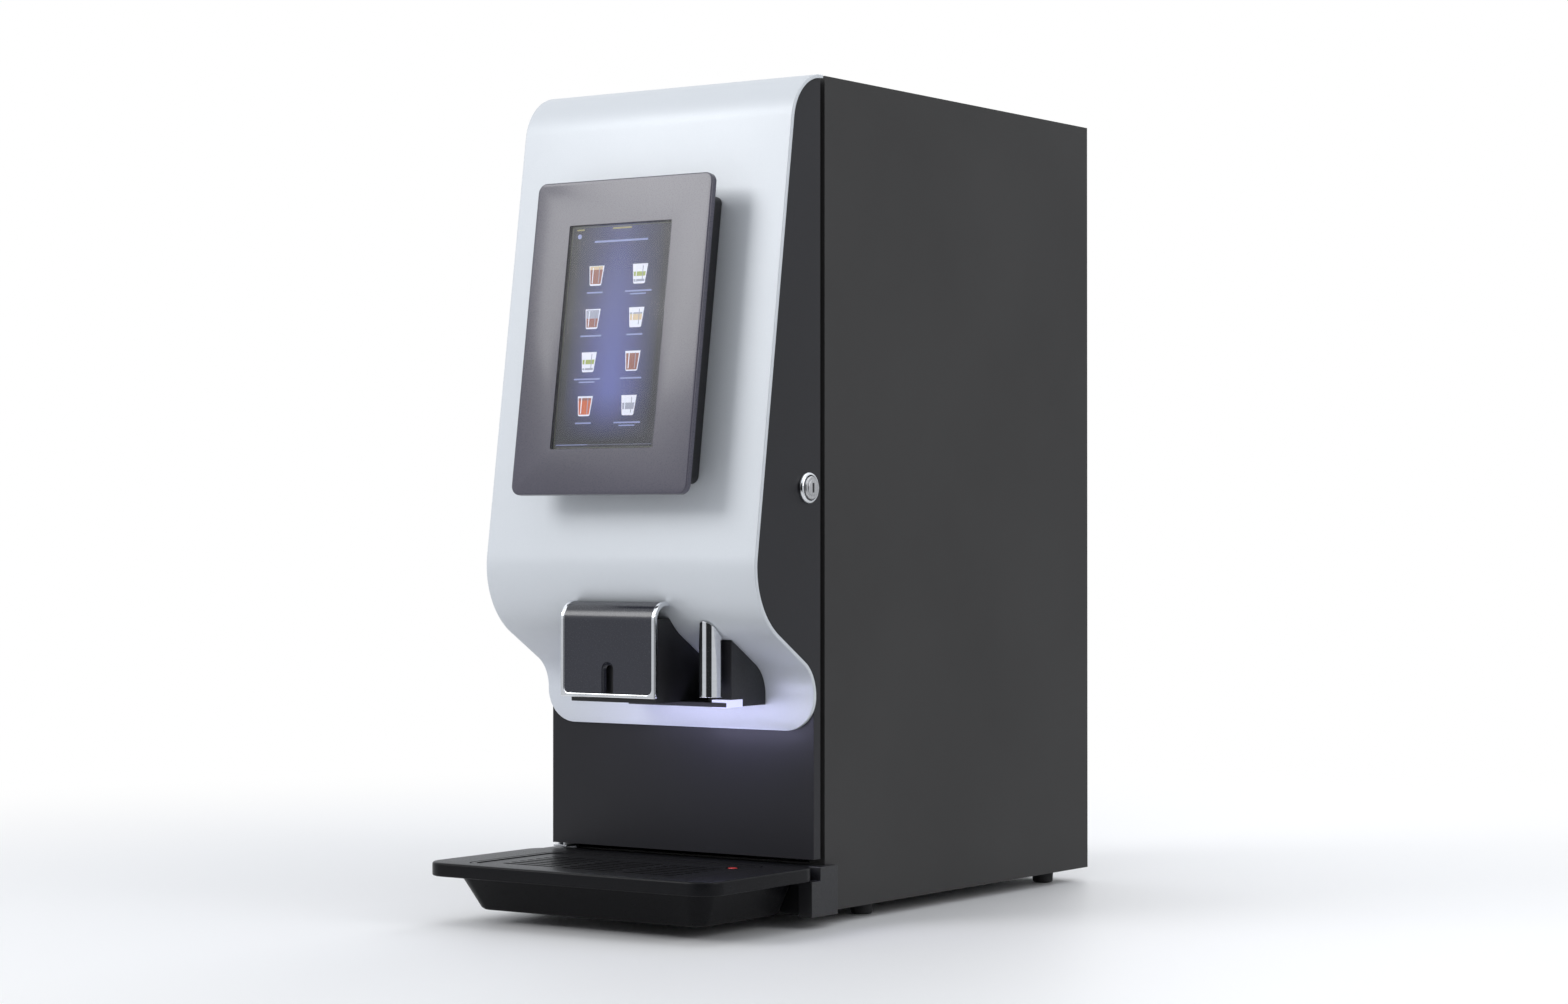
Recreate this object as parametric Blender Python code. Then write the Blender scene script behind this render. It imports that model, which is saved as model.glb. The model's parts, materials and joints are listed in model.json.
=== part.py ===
"""Table-top hot coffee vending machine, as an assembly of separate parts.

Metres, +Z up, front towards -Y, right-hand side towards +X. The origin is on the counter,
under the middle of the machine's box. Left and right are those of a person facing the front.
"""

import math

import bmesh
import bpy
from mathutils import Matrix, Vector

# Overall sizes
WIDTH = 0.252
HEIGHT = 0.6455
FASCIA_WIDTH = 0.257
FOOT_HEIGHT = 0.0106
SPLIT_Y = -0.130  # the plane between door and cabinet
BACK_Y = 0.2755
DOOR_GAP = 0.003  # door and cabinet each stop this far from the split plane
CLEAR = 0.0003  # between parts that touch on the real machine
SHEET = 0.0015

# Fascia: a bent sheet that runs over the top, leans forward to the belly and turns back under it
LEAN = math.radians(8.17)
FASCIA_SHEET = 0.0027
FASCIA_BOTTOM = 0.148
FASCIA_CORNER_R = 0.026
FASCIA_CORNERS = (
    (SPLIT_Y - DOOR_GAP, HEIGHT, 0.0),
    (SPLIT_Y - 0.0391, HEIGHT, 0.041),
    (SPLIT_Y - 0.0972, 0.2408, 0.062),
    (SPLIT_Y - 0.0150, 0.1905, 0.028),
    (SPLIT_Y - 0.0150, FASCIA_BOTTOM + FASCIA_CORNER_R, 0.0),
)

# Door
DOOR_BOTTOM = 0.051
DOOR_WALL = 0.0022
HINGE_X = -0.1215
HINGE_Y = SPLIT_Y - 0.0075
PIN_R = 0.0020
PIN_HOLE_R = 0.0023

# Screen, in its own leaning frame: width, height along the lean, distance from the fascia
SCREEN_Z = 0.443
BEZEL_W = 0.167
BEZEL_H = 0.2435
BEZEL_R = 0.0075
BEZEL_BACK = 0.0268
BEZEL_FRONT = 0.0320
HOUSING_INSET = 0.012
GLASS_W = 0.097
GLASS_H = 0.173

# Outlets
SPOUT_HALF = 0.0450
SPOUT_FRONT = SPLIT_Y - 0.1035
SPOUT_TOP = 0.246
SPOUT_BOTTOM = 0.1735
SPOUT_BEND_R = 0.014
TRIM = 0.0033
COVER_DEPTH = 0.0060
GROOVE_R = 0.006
GROOVE_TOP = 0.201
WATER_X = 0.0715
WATER_R = 0.0075
WATER_LEG = 0.0064  # straight sides of the half pipe, behind its round front
WATER_FRONT = SPLIT_Y - 0.079
WATER_BOTTOM = 0.1747
WATER_SIDE_X = (0.0625, 0.0840)
HOUSING_BOTTOM = 0.170
HOUSING_FRONT = SPLIT_Y - 0.0965
HOUSING_TOP = 0.2335
BASE_Z = (0.1672, 0.1706)
BASE_X = (-0.0080, 0.0840)
BASE_FRONT = SPLIT_Y - 0.0670
LENS_X = (0.0700, 0.0845)
LENS_Y = (SPLIT_Y - 0.0660, SPLIT_Y - 0.0460)
NOZZLE_X = 0.009
NOZZLE_Y = SPLIT_Y - 0.0760
FEED_Z = 0.2070  # the pipes that cross the door at this height
FEED_SLOT_Z = (0.1975, 0.2150)
FEED_HALF = 0.026

# Lock
LOCK_Y = SPLIT_Y - 0.020
LOCK_Z = 0.332
LOCK_R = 0.0090
HOOK_X = (0.103, 0.106)
STRIKE_RADIUS = 0.0255
STRIKE_R = 0.0025

# Drip tray
TRAY_HALF = 0.1355
TRAY_FRONT = -0.290
TRAY_BACK = -0.1465
TRAY_TOP = 0.047
TRAY_RIM = 0.0105
TRAY_BOTTOM = 0.010
TRAY_R = 0.020
BRACKET_HALF = 0.1340
BRACKET_Z = (0.0090, 0.0358, 0.0462)  # bottom, ledge under the tray's rim, top behind the tray
GRID_HALF = 0.1025
GRID_Y = (-0.2785, -0.1685)
GRID_THICK = 0.0025
FLOAT_AT = (0.0830, -0.1870)

# Ingredient unit
CANISTER_X = {"left": -0.077, "middle": 0.0, "right": 0.077}
CANISTER_HALF = 0.036
CANISTER_Y = (-0.075, 0.140)
CANISTER_Z = (0.357, 0.580)
CANISTER_WALL = 0.002
AUGER_Z = 0.377
AUGER_R = 0.012
AUGER_TURNS = 5
LID_HINGE = (0.031, 0.5835)
SHELF_Z = 0.3505
MOTOR_PLATE_Y = 0.1430

# Mixers: the middle of each bowl, and the two sides of its funnel
MIXER_X = {"left": -0.0415, "right": 0.0575}
FUNNEL_X = {"left": (-0.095, 0.012), "right": (0.020, 0.095)}
MIXER_Z = 0.262
MIXER_PLATE_Y = -0.046

MOTOR_GAP = 0.0020  # between a mounting plate and the motor on it

# Boiler and electrics
BOILER_X = 0.078
BOILER_Y = (0.089, 0.241)
BOILER_Z = (0.165, 0.310, 0.325)  # bottom, underside of the lid, top
SUPPLY_X = (-0.110, 0.010)
SUPPLY_Y = (0.030, 0.200)
SUPPLY_Z = (0.018, 0.068)
BOARD_Y = (0.020, 0.210)
BOARD_Z = (0.100, 0.330)
BOARD_THICK = 0.0016

# Rear fittings
FAN_AT = (0.0, 0.540)
FAN_HALF = 0.030
FAN_BORE = 0.0280
FAN_Y = (0.2575, 0.2720)
FAN_BLADES = 7
INLET_AT = (-0.078, 0.095)
INLET_R = 0.0105
SOCKET_AT = (0.075, 0.046)
SOCKET_HALF = (0.0255, 0.0155)
SOCKET_RIM = 0.0030
SOCKET_BACK = 0.245
SWITCH_X = 0.060
SWITCH_PIVOT_Y = 0.2725
ROCKER_TILT = math.radians(7)

FINISHES = {  # colour, roughness, metallic
    "silver": ((0.78, 0.80, 0.83), 0.38, 0.35),
    "powder_black": ((0.035, 0.034, 0.034), 0.62, 0.10),
    "moulded_black": ((0.018, 0.018, 0.020), 0.48, 0.0),
    "bezel_grey": ((0.045, 0.045, 0.060), 0.42, 0.0),
    "screen": ((0.015, 0.020, 0.080), 0.08, 0.0),
    "chrome": ((0.80, 0.81, 0.83), 0.08, 1.0),
    "steel": ((0.58, 0.58, 0.57), 0.32, 1.0),
    "clear_white": ((0.75, 0.76, 0.76), 0.35, 0.0),
    "white_plastic": ((0.66, 0.66, 0.64), 0.45, 0.0),
    "rubber": ((0.020, 0.020, 0.020), 0.85, 0.0),
    "board_green": ((0.020, 0.130, 0.060), 0.50, 0.0),
    "brass": ((0.70, 0.52, 0.22), 0.30, 1.0),
    "red_plastic": ((0.50, 0.030, 0.020), 0.45, 0.0),
}


# ---- Outlines: lists of 2-D points, anticlockwise where closed ----


def circle(cx, cy, radius, count=16, start=0.0):
    angles = [start + math.tau * i / count for i in range(count)]
    return [(cx + radius * math.cos(a), cy + radius * math.sin(a)) for a in angles]


def rectangle(x0, x1, y0, y1):
    return [(x0, y0), (x1, y0), (x1, y1), (x0, y1)]


def rounded_rectangle(x0, x1, y0, y1, radius, steps=3):
    """Corner arcs of steps + 1 points each, starting at the lower left corner."""
    corners = (
        (x0 + radius, y0 + radius, math.pi),
        (x1 - radius, y0 + radius, math.pi * 1.5),
        (x1 - radius, y1 - radius, 0.0),
        (x0 + radius, y1 - radius, math.pi * 0.5),
    )
    points = []
    for cx, cy, start in corners:
        for i in range(steps + 1):
            angle = start + math.pi / 2 * i / steps
            points.append((cx + radius * math.cos(angle), cy + radius * math.sin(angle)))
    return points


def matching_circle(cx, cy, radius, steps=3):
    """A circle with as many points as rounded_rectangle, in the same order."""
    return circle(cx, cy, radius, 4 * (steps + 1), math.pi + math.pi / (4 * (steps + 1)))


def filleted(corners, steps=6):
    """An open path through (a, b, radius) corners, with an arc at each inner corner."""
    points = [Vector(corners[0][:2])]
    for before, here, after in zip(corners, corners[1:], corners[2:]):
        corner = Vector(here[:2])
        back = (Vector(before[:2]) - corner).normalized()
        ahead = (Vector(after[:2]) - corner).normalized()
        half = back.angle(ahead) / 2
        centre = corner + (back + ahead).normalized() * (here[2] / math.sin(half))
        first = corner + back * (here[2] / math.tan(half)) - centre
        sweep = math.pi - 2 * half
        if first.x * back.y - first.y * back.x > 0:
            sweep = -sweep
        start = math.atan2(first.y, first.x)
        for i in range(steps + 1):
            angle = start + sweep * i / steps
            points.append(centre + here[2] * Vector((math.cos(angle), math.sin(angle))))
    points.append(Vector(corners[-1][:2]))
    return points


def moved_aside(path, distance):
    """The open path shifted along its left-hand normals."""
    shifted = []
    for i, point in enumerate(path):
        before = path[max(i - 1, 0)]
        after = path[min(i + 1, len(path) - 1)]
        along = (after - before).normalized()
        shifted.append(point + Vector((-along.y, along.x)) * distance)
    return shifted


# ---- Solids: shapes added to a bmesh, each one closed ----


def on_plane(points, axis, level):
    """Outline points as 3-D points: (y, z) on an x plane, (x, z) on a y plane, (x, y) on a z plane."""
    if axis == "x":
        return [Vector((level, a, b)) for a, b in points]
    if axis == "y":
        return [Vector((a, level, b)) for a, b in points]
    return [Vector((a, b, level)) for a, b in points]


def loft(bm, rings, capped=True):
    """Faces between rings of equal length, ended by two caps, or joined round to the first ring."""
    rows = [[bm.verts.new(point) for point in ring] for ring in rings]
    pairs = list(zip(rows, rows[1:]))
    if not capped:
        pairs.append((rows[-1], rows[0]))
    made = []
    for low, high in pairs:
        for i in range(len(low)):
            j = (i + 1) % len(low)
            made.append(bm.faces.new((low[i], low[j], high[j], high[i])))
    if capped:
        made.append(bm.faces.new(rows[0]))
        made.append(bm.faces.new(rows[-1]))
    bmesh.ops.recalc_face_normals(bm, faces=made)


def prism(bm, outline, axis, low, high):
    loft(bm, [on_plane(outline, axis, low), on_plane(outline, axis, high)])


def box(bm, x0, x1, y0, y1, z0, z1):
    prism(bm, rectangle(x0, x1, y0, y1), "z", z0, z1)


def rod(bm, axis, centre, radius, low, high, count=16):
    prism(bm, circle(*centre, radius, count), axis, low, high)


def turned(bm, axis, centre, profile, count=16):
    """A round solid through (level, radius) pairs along the axis."""
    loft(bm, [on_plane(circle(*centre, radius, count), axis, level) for level, radius in profile])


def tube(bm, path, outer, inner, count=10):
    """An open pipe along 3-D points."""
    outside, inside = [], []
    for i, point in enumerate(path):
        along = (path[min(i + 1, len(path) - 1)] - path[max(i - 1, 0)]).normalized()
        side = Vector((1.0, 0.0, 0.0))
        side = (side - along * side.dot(along)).normalized()
        up = along.cross(side)
        turns = circle(0.0, 0.0, 1.0, count)
        outside.append([point + (side * a + up * b) * outer for a, b in turns])
        inside.append([point + (side * a + up * b) * inner for a, b in turns])
    loft(bm, outside + inside[::-1], capped=False)


# ---- Objects ----


def finish_material(name, finish):
    colour, roughness, metallic = FINISHES[finish]
    made = bpy.data.materials.new(name)
    made.use_nodes = True
    shader = made.node_tree.nodes["Principled BSDF"]
    shader.inputs["Base Color"].default_value = (*colour, 1.0)
    shader.inputs["Roughness"].default_value = roughness
    shader.inputs["Metallic"].default_value = metallic
    return made


def add_object(name, bm, finish=None, origin=(0.0, 0.0, 0.0), smooth=False):
    """An object from a bmesh in world places, with its own origin."""
    mesh = bpy.data.meshes.new(name)
    bm.to_mesh(mesh)
    bm.free()
    mesh.transform(Matrix.Translation(-Vector(origin)))
    made = bpy.data.objects.new(name, mesh)
    made.location = origin
    bpy.context.scene.collection.objects.link(made)
    if finish:
        mesh.materials.append(finish_material(name, finish))
    if smooth:
        mesh.shade_smooth()
        mesh.set_sharp_from_angle(angle=math.radians(35))
    return made


def combine(target, operation, shapes):
    """A Boolean on the target with one hidden helper that holds all the shapes, none overlapping."""
    bm = bmesh.new()
    for add_shape, *values in shapes:
        add_shape(bm, *values)
    helper = add_object(f"{target.name}_{operation.lower()}_{len(target.modifiers)}", bm)
    helper.parent = target
    helper.location = -target.location
    helper.hide_render = True
    helper.display_type = "WIRE"
    modifier = target.modifiers.new(operation.title(), "BOOLEAN")
    modifier.operation = operation
    modifier.solver = "EXACT"
    modifier.object = helper


def cut(target, *shapes):
    combine(target, "DIFFERENCE", shapes)


def join(target, *shapes):
    combine(target, "UNION", shapes)


def part(name, finish, *shapes, origin=(0.0, 0.0, 0.0), smooth=False):
    """An object from shapes, each a builder followed by its values."""
    bm = bmesh.new()
    for add_shape, *values in shapes:
        add_shape(bm, *values)
    return add_object(name, bm, finish, origin, smooth)


# ---- Cabinet ----


def build_cabinet():
    half = WIDTH / 2
    front = SPLIT_Y + DOOR_GAP
    inner = half - SHEET
    opening = inner - 0.0125
    shell = part("cabinet_shell", "powder_black", (box, -half, half, front, BACK_Y, FOOT_HEIGHT, HEIGHT))
    cut(shell, (box, -inner, inner, front + SHEET, BACK_Y + 0.01, -0.01, HEIGHT - SHEET))
    cut(shell, (box, -opening, opening, front - 0.01, front + 0.01, -0.02, HEIGHT - 0.013))
    strike_y = LOCK_Y + STRIKE_RADIUS
    join(shell, (rod, "x", (strike_y, LOCK_Z), STRIKE_R, HOOK_X[0] - 0.004, inner + SHEET / 2, 10))


def build_base():
    half = WIDTH / 2 - SHEET - CLEAR
    low = FOOT_HEIGHT + 0.0009
    front = SPLIT_Y + DOOR_GAP + SHEET + CLEAR
    profile = [
        (front, low),
        (BACK_Y - 0.002, low),
        (BACK_Y - 0.002, low + 0.002),
        (front + SHEET, low + 0.002),
        (front + SHEET, TRAY_TOP),
        (front, TRAY_TOP),
    ]
    part("base_plate", "powder_black", (prism, profile, "x", -half, half))


def build_feet():
    foot = [(0.0, 0.0072), (0.0010, 0.0085), (0.0080, 0.0090), (FOOT_HEIGHT + 0.0006, 0.0090)]
    for row, y in (("front", SPLIT_Y + 0.085), ("rear", SPLIT_Y + 0.365)):
        for side, x in (("left", -0.105), ("right", 0.105)):
            part(
                f"foot_{row}_{side}", "rubber", (turned, "z", (x, y), foot), origin=(x, y, 0.0), smooth=True
            )


def build_back_panel():
    half = WIDTH / 2 - SHEET - CLEAR
    low = FOOT_HEIGHT + 0.0035
    panel = part(
        "back_panel",
        "powder_black",
        (box, -half, half, BACK_Y - SHEET, BACK_Y, low, HEIGHT - SHEET - CLEAR),
    )
    through = (BACK_Y - 0.01, BACK_Y + 0.01)
    fan_x, fan_z = FAN_AT
    slots = []
    for middle, half_width, heights in (
        (fan_x, 0.024, [fan_z - 0.0225 + 0.009 * row for row in range(6)]),
        (0.0, 0.022, [0.075 + 0.010 * row for row in range(5)]),
    ):
        for z in heights:
            slots.append((box, middle - half_width, middle + half_width, *through, z - 0.002, z + 0.002))
    x, z = SOCKET_AT
    half_x, half_z = (half + 0.0010 for half in SOCKET_HALF)
    slots.append((box, x - half_x, x + half_x, *through, z - half_z, z + half_z))
    slots.append((rod, "y", INLET_AT, INLET_R + 0.0007, *through))
    cut(panel, *slots)


def build_rear_fittings():
    x, z = SOCKET_AT
    half_x, half_z = SOCKET_HALF
    inside = rectangle(x - half_x, x + half_x, z - half_z, z + half_z)
    half_x, half_z = (half + SOCKET_RIM for half in SOCKET_HALF)
    flange = rectangle(x - half_x, x + half_x, z - half_z, z + half_z)
    socket = part(
        "mains_inlet",
        "moulded_black",
        (
            loft,
            [
                on_plane(inside, "y", SOCKET_BACK),
                on_plane(inside, "y", BACK_Y + CLEAR),
                on_plane(flange, "y", BACK_Y + CLEAR),
                on_plane(flange, "y", BACK_Y + 0.0032),
            ],
        ),
    )
    cut(
        socket,
        (box, x - 0.0045, x + 0.0205, 0.262, 0.30, z - 0.0085, z + 0.0085),
        (box, SWITCH_X - 0.0088, SWITCH_X + 0.0088, 0.2655, 0.30, z - 0.0122, z + 0.0122),
    )
    outline = [(0.0075, -0.0105), (0.0062, 0.0), (0.0075, 0.0105)]
    outline += [(0.0, 0.0092), (-0.0030, 0.0), (0.0, -0.0092)]
    tilt = Matrix.Rotation(-ROCKER_TILT, 2)
    rest = [Vector((SWITCH_PIVOT_Y, z)) + tilt @ Vector(point) for point in outline]
    part(
        "main_switch_rocker",
        "moulded_black",
        (prism, rest, "x", SWITCH_X - 0.0080, SWITCH_X + 0.0080),
        origin=(SWITCH_X, SWITCH_PIVOT_Y, z),
    )
    x, z = INLET_AT
    body = rounded_rectangle(x - 0.017, x + 0.017, z - 0.015, z + 0.015, 0.003)
    rings = [on_plane(body, "y", 0.225), on_plane(body, "y", 0.262)]
    for y, radius in ((0.2622, INLET_R), (0.288, INLET_R), (BACK_Y + 0.0145, INLET_R - 0.001)):
        rings.append(on_plane(matching_circle(x, z, radius), "y", y))
    valve = part("inlet_valve", "brass", (loft, rings))
    cut(valve, (rod, "y", (x, z), 0.0060, 0.270, 0.30, 12))


# ---- Inside of the cabinet ----


def build_inner_frame():
    half = WIDTH / 2 - SHEET - 0.001
    plate = MOTOR_PLATE_Y
    frame = part("inner_frame", "steel", (box, -half, half, -0.080, plate + SHEET, SHELF_Z, SHELF_Z + SHEET))
    join(
        frame,
        (box, -half, half, plate, plate + SHEET, SHELF_Z + SHEET / 2, 0.600),
        (box, -half, half, MIXER_PLATE_Y, MIXER_PLATE_Y + SHEET, 0.200, SHELF_Z + SHEET / 2),
    )
    holes = [(rod, "y", (x, AUGER_Z), 0.0060, plate - 0.01, plate + 0.01, 12) for x in CANISTER_X.values()]
    for x in MIXER_X.values():
        holes.append((rod, "y", (x, MIXER_Z), 0.0050, MIXER_PLATE_Y - 0.01, MIXER_PLATE_Y + 0.01, 12))
    cut(frame, *holes)


def build_canister(side, x):
    half, wall = CANISTER_HALF, CANISTER_WALL
    (y0, y1), (z0, z1) = CANISTER_Y, CANISTER_Z
    outer = rounded_rectangle(x - half, x + half, y0, y1, 0.006, 2)
    inner = rounded_rectangle(x - half + wall, x + half - wall, y0 + wall, LID_HINGE[0] - wall, 0.004, 2)
    rear = rounded_rectangle(x - half + wall, x + half - wall, y0 + wall, y1 - wall, 0.004, 2)
    canister = part(f"canister_{side}", "clear_white", (prism, outer, "z", z0, z1))
    cut(canister, (prism, rear, "z", z0 + wall, z1 - wall))
    cut(canister, (prism, inner, "z", z1 - 0.010, z1 + 0.010))
    cut(
        canister,
        (rod, "y", (x, AUGER_Z), AUGER_R + 0.0012, y0 - 0.01, y0 + 0.01),
        (rod, "y", (x, AUGER_Z), 0.0042, y1 - 0.01, y1 + 0.01, 12),
    )
    hinge_y, hinge_z = LID_HINGE
    cover = rounded_rectangle(x - half, x + half, y0 - 0.001, hinge_y, 0.005, 2)
    part(
        f"canister_lid_{side}",
        "moulded_black",
        (prism, cover, "z", z1 + 0.0005, hinge_z),
        origin=(x, hinge_y, hinge_z),
    )


def build_auger(side, x):
    """A twisted one-lobe section: a shaft with a helical blade, then a plain shaft to the motor."""
    start, blade_end, shaft_end = -0.1035, CANISTER_Y[1] - 0.006, MOTOR_PLATE_Y + 0.0030
    section = [(AUGER_R, -0.20), (AUGER_R, 0.20), (0.0036, 0.45)]
    section += [(0.0030, math.tau * i / 6) for i in range(1, 6)]
    section.append((0.0036, -0.45))
    rings = []
    count = AUGER_TURNS * 8
    for i in range(count + 1):
        turn = math.tau * AUGER_TURNS * i / count
        ring = [(x + r * math.cos(a + turn), AUGER_Z + r * math.sin(a + turn)) for r, a in section]
        rings.append(on_plane(ring, "y", start + (blade_end - start) * i / count))
    for y in (blade_end + 0.0010, shaft_end):
        ring = [(x + 0.003 * math.cos(a), AUGER_Z + 0.003 * math.sin(a)) for r, a in section]
        rings.append(on_plane(ring, "y", y))
    part(f"auger_{side}", "white_plastic", (loft, rings), origin=(x, start, AUGER_Z), smooth=True)


def build_canister_outlet(side, x):
    front, back = -0.1105, CANISTER_Y[0] - 0.0006
    outlet = part(
        f"canister_outlet_{side}",
        "white_plastic",
        (rod, "y", (x, AUGER_Z), 0.0165, front, back),
        origin=(x, back, AUGER_Z),
        smooth=True,
    )
    low = AUGER_Z - 0.0245
    join(outlet, (box, x - 0.011, x + 0.011, front + 0.001, front + 0.023, low, AUGER_Z - 0.008))
    cut(outlet, (rod, "y", (x, AUGER_Z), 0.0145, front + 0.0020, back + 0.01))
    cut(outlet, (box, x - 0.009, x + 0.009, front + 0.003, front + 0.021, low - 0.006, AUGER_Z - 0.006))


def build_auger_motor(side, x):
    y = MOTOR_PLATE_Y + SHEET + MOTOR_GAP
    gearbox = rounded_rectangle(x - 0.021, x + 0.021, AUGER_Z - 0.015, AUGER_Z + 0.030, 0.003)
    can = matching_circle(x, AUGER_Z + 0.008, 0.0150)
    rings = [on_plane(gearbox, "y", y), on_plane(gearbox, "y", y + 0.026)]
    rings += [on_plane(can, "y", y + 0.0265), on_plane(can, "y", y + 0.055)]
    part(f"auger_motor_{side}", "steel", (loft, rings))


def build_mixer(side):
    x = MIXER_X[side]
    x0, x1 = FUNNEL_X[side]
    back = MIXER_PLATE_Y - 0.0005
    top = rounded_rectangle(x0, x1, -0.118, -0.0705, 0.008)
    neck = matching_circle(x, -0.0850, 0.0160)
    rings = [on_plane(neck, "z", MIXER_Z + 0.012), on_plane(neck, "z", 0.288)]
    rings += [on_plane(top, "z", 0.322), on_plane(top, "z", 0.343)]
    bowl = part(f"mixer_bowl_{side}", "white_plastic", (loft, rings))
    join(bowl, (rod, "y", (x, MIXER_Z), 0.0220, -0.1040, back, 20))
    join(bowl, (rod, "y", (x, MIXER_Z - 0.0140), 0.0060, -0.1160, -0.1000, 12))
    inner_top = rounded_rectangle(x0 + 0.002, x1 - 0.002, -0.116, -0.0725, 0.006)
    inner_neck = matching_circle(x, -0.0850, 0.0140)
    rings = [on_plane(inner_neck, "z", MIXER_Z + 0.005), on_plane(inner_neck, "z", 0.2885)]
    rings += [on_plane(inner_top, "z", 0.3225), on_plane(inner_top, "z", 0.350)]
    cut(bowl, (loft, rings))
    cut(bowl, (rod, "y", (x, MIXER_Z), 0.0200, -0.1020, back - 0.002, 20))
    cut(
        bowl,
        (rod, "y", (x, MIXER_Z - 0.0140), 0.0042, -0.1200, -0.1010, 12),
        (rod, "y", (x, MIXER_Z), 0.0034, back - 0.005, back + 0.01, 12),
    )
    star = []
    for i in range(12):
        radius = 0.013 if i % 2 else 0.0065
        angle = math.tau * i / 12
        star.append((x + radius * math.cos(angle), MIXER_Z + radius * math.sin(angle)))
    shaft = circle(x, MIXER_Z, 0.0026, 12)
    rings = [on_plane(star, "y", -0.092), on_plane(star, "y", -0.082)]
    rings += [on_plane(shaft, "y", -0.0815), on_plane(shaft, "y", MIXER_PLATE_Y + 0.0030)]
    part(f"mixer_impeller_{side}", "white_plastic", (loft, rings), origin=(x, -0.082, MIXER_Z))
    y = MIXER_PLATE_Y + SHEET + MOTOR_GAP
    can = [(y, 0.0170), (y + 0.040, 0.0170), (y + 0.0405, 0.0060), (y + 0.046, 0.0060)]
    part(f"mixer_motor_{side}", "steel", (turned, "y", (x, MIXER_Z), can, 20), smooth=True)
    end = {"left": -NOZZLE_X, "right": NOZZLE_X}[side]
    start = Vector((x, -0.1170, MIXER_Z - 0.0140))
    path = [
        start,
        start + Vector((0.0, -0.0035, 0.0)),
        start + Vector(((end - x) * 0.12, -0.0065, -0.0050)),
        Vector((end + (x - end) * 0.25, -0.1245, 0.2240)),
        Vector((end, -0.1265, FEED_Z + 0.0070)),
        Vector((end, -0.1290, FEED_Z + 0.0010)),
        Vector((end, -0.1320, FEED_Z)),
    ]
    part(f"outlet_hose_{side}", "clear_white", (tube, path, 0.0052, 0.0036), smooth=True)


def build_water_system():
    y0, y1 = BOILER_Y
    rim = 0.006
    lid = rounded_rectangle(-BOILER_X, BOILER_X, y0, y1, 0.030, 4)
    tank = rounded_rectangle(-BOILER_X + rim, BOILER_X - rim, y0 + rim, y1 - rim, 0.028, 4)
    bottom, under_lid, top = BOILER_Z
    rings = [on_plane(tank, "z", bottom), on_plane(tank, "z", under_lid)]
    rings += [on_plane(lid, "z", under_lid + 0.0005), on_plane(lid, "z", top)]
    part("boiler", "steel", (loft, rings))


def build_electrics():
    part("power_supply", "steel", (box, *SUPPLY_X, *SUPPLY_Y, *SUPPLY_Z))
    wall = -WIDTH / 2 + SHEET + 0.0030
    part("control_board", "board_green", (box, wall, wall + BOARD_THICK, *BOARD_Y, *BOARD_Z))


def build_fan():
    x, z = FAN_AT
    y0, y1 = FAN_Y
    square = rounded_rectangle(x - FAN_HALF, x + FAN_HALF, z - FAN_HALF, z + FAN_HALF, 0.004)
    housing = part("fan_housing", "moulded_black", (prism, square, "y", y0, y1))
    cut(housing, (rod, "y", (x, z), FAN_BORE, y0 - 0.01, y1 + 0.01, 24))
    hub, tip = 0.010, FAN_BORE - 0.0018
    rings = []
    for step in range(4):
        twist = 0.35 * step
        ring = []
        for blade in range(FAN_BLADES):
            base = math.tau * blade / FAN_BLADES + twist
            for radius, angle in ((hub, -0.42), (tip, -0.16), (tip, 0.16), (hub, 0.42)):
                ring.append((x + radius * math.cos(base + angle), z + radius * math.sin(base + angle)))
        rings.append(on_plane(ring, "y", y0 + 0.002 + 0.0033 * step))
    part("fan_impeller", "moulded_black", (loft, rings), origin=(x, y0 + 0.002, z))


# ---- Tray ----


def tray_ring(inset, z, radius):
    outline = rounded_rectangle(
        -TRAY_HALF + inset, TRAY_HALF - inset, TRAY_FRONT + inset, TRAY_BACK, radius, 4
    )
    return on_plane(outline, "z", z)


def build_tray():
    tray = part(
        "drip_tray",
        "moulded_black",
        (
            loft,
            [
                tray_ring(0.029, TRAY_BOTTOM, 0.012),
                tray_ring(0.017, TRAY_TOP - TRAY_RIM - 0.0005, 0.016),
                tray_ring(0.001, TRAY_TOP - TRAY_RIM, TRAY_R - 0.001),
                tray_ring(0.0, TRAY_TOP - TRAY_RIM + 0.001, TRAY_R),
                tray_ring(0.0, TRAY_TOP - 0.0012, TRAY_R),
                tray_ring(0.0012, TRAY_TOP, TRAY_R - 0.0012),
            ],
        ),
    )
    y0, y1 = GRID_Y
    ledge = rounded_rectangle(-GRID_HALF - 0.001, GRID_HALF + 0.001, y0 - 0.001, y1 + 0.001, 0.013, 4)
    cut(tray, (prism, ledge, "z", TRAY_TOP - 0.0030, TRAY_TOP + 0.01))
    basin_top = rounded_rectangle(-GRID_HALF + 0.003, GRID_HALF - 0.003, y0 + 0.003, y1 - 0.003, 0.010, 4)
    basin_low = rounded_rectangle(-GRID_HALF + 0.010, GRID_HALF - 0.010, y0 + 0.018, y1 - 0.008, 0.008, 4)
    cut(
        tray,
        (loft, [on_plane(basin_low, "z", TRAY_BOTTOM + 0.003), on_plane(basin_top, "z", TRAY_TOP - 0.002)]),
    )


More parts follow.
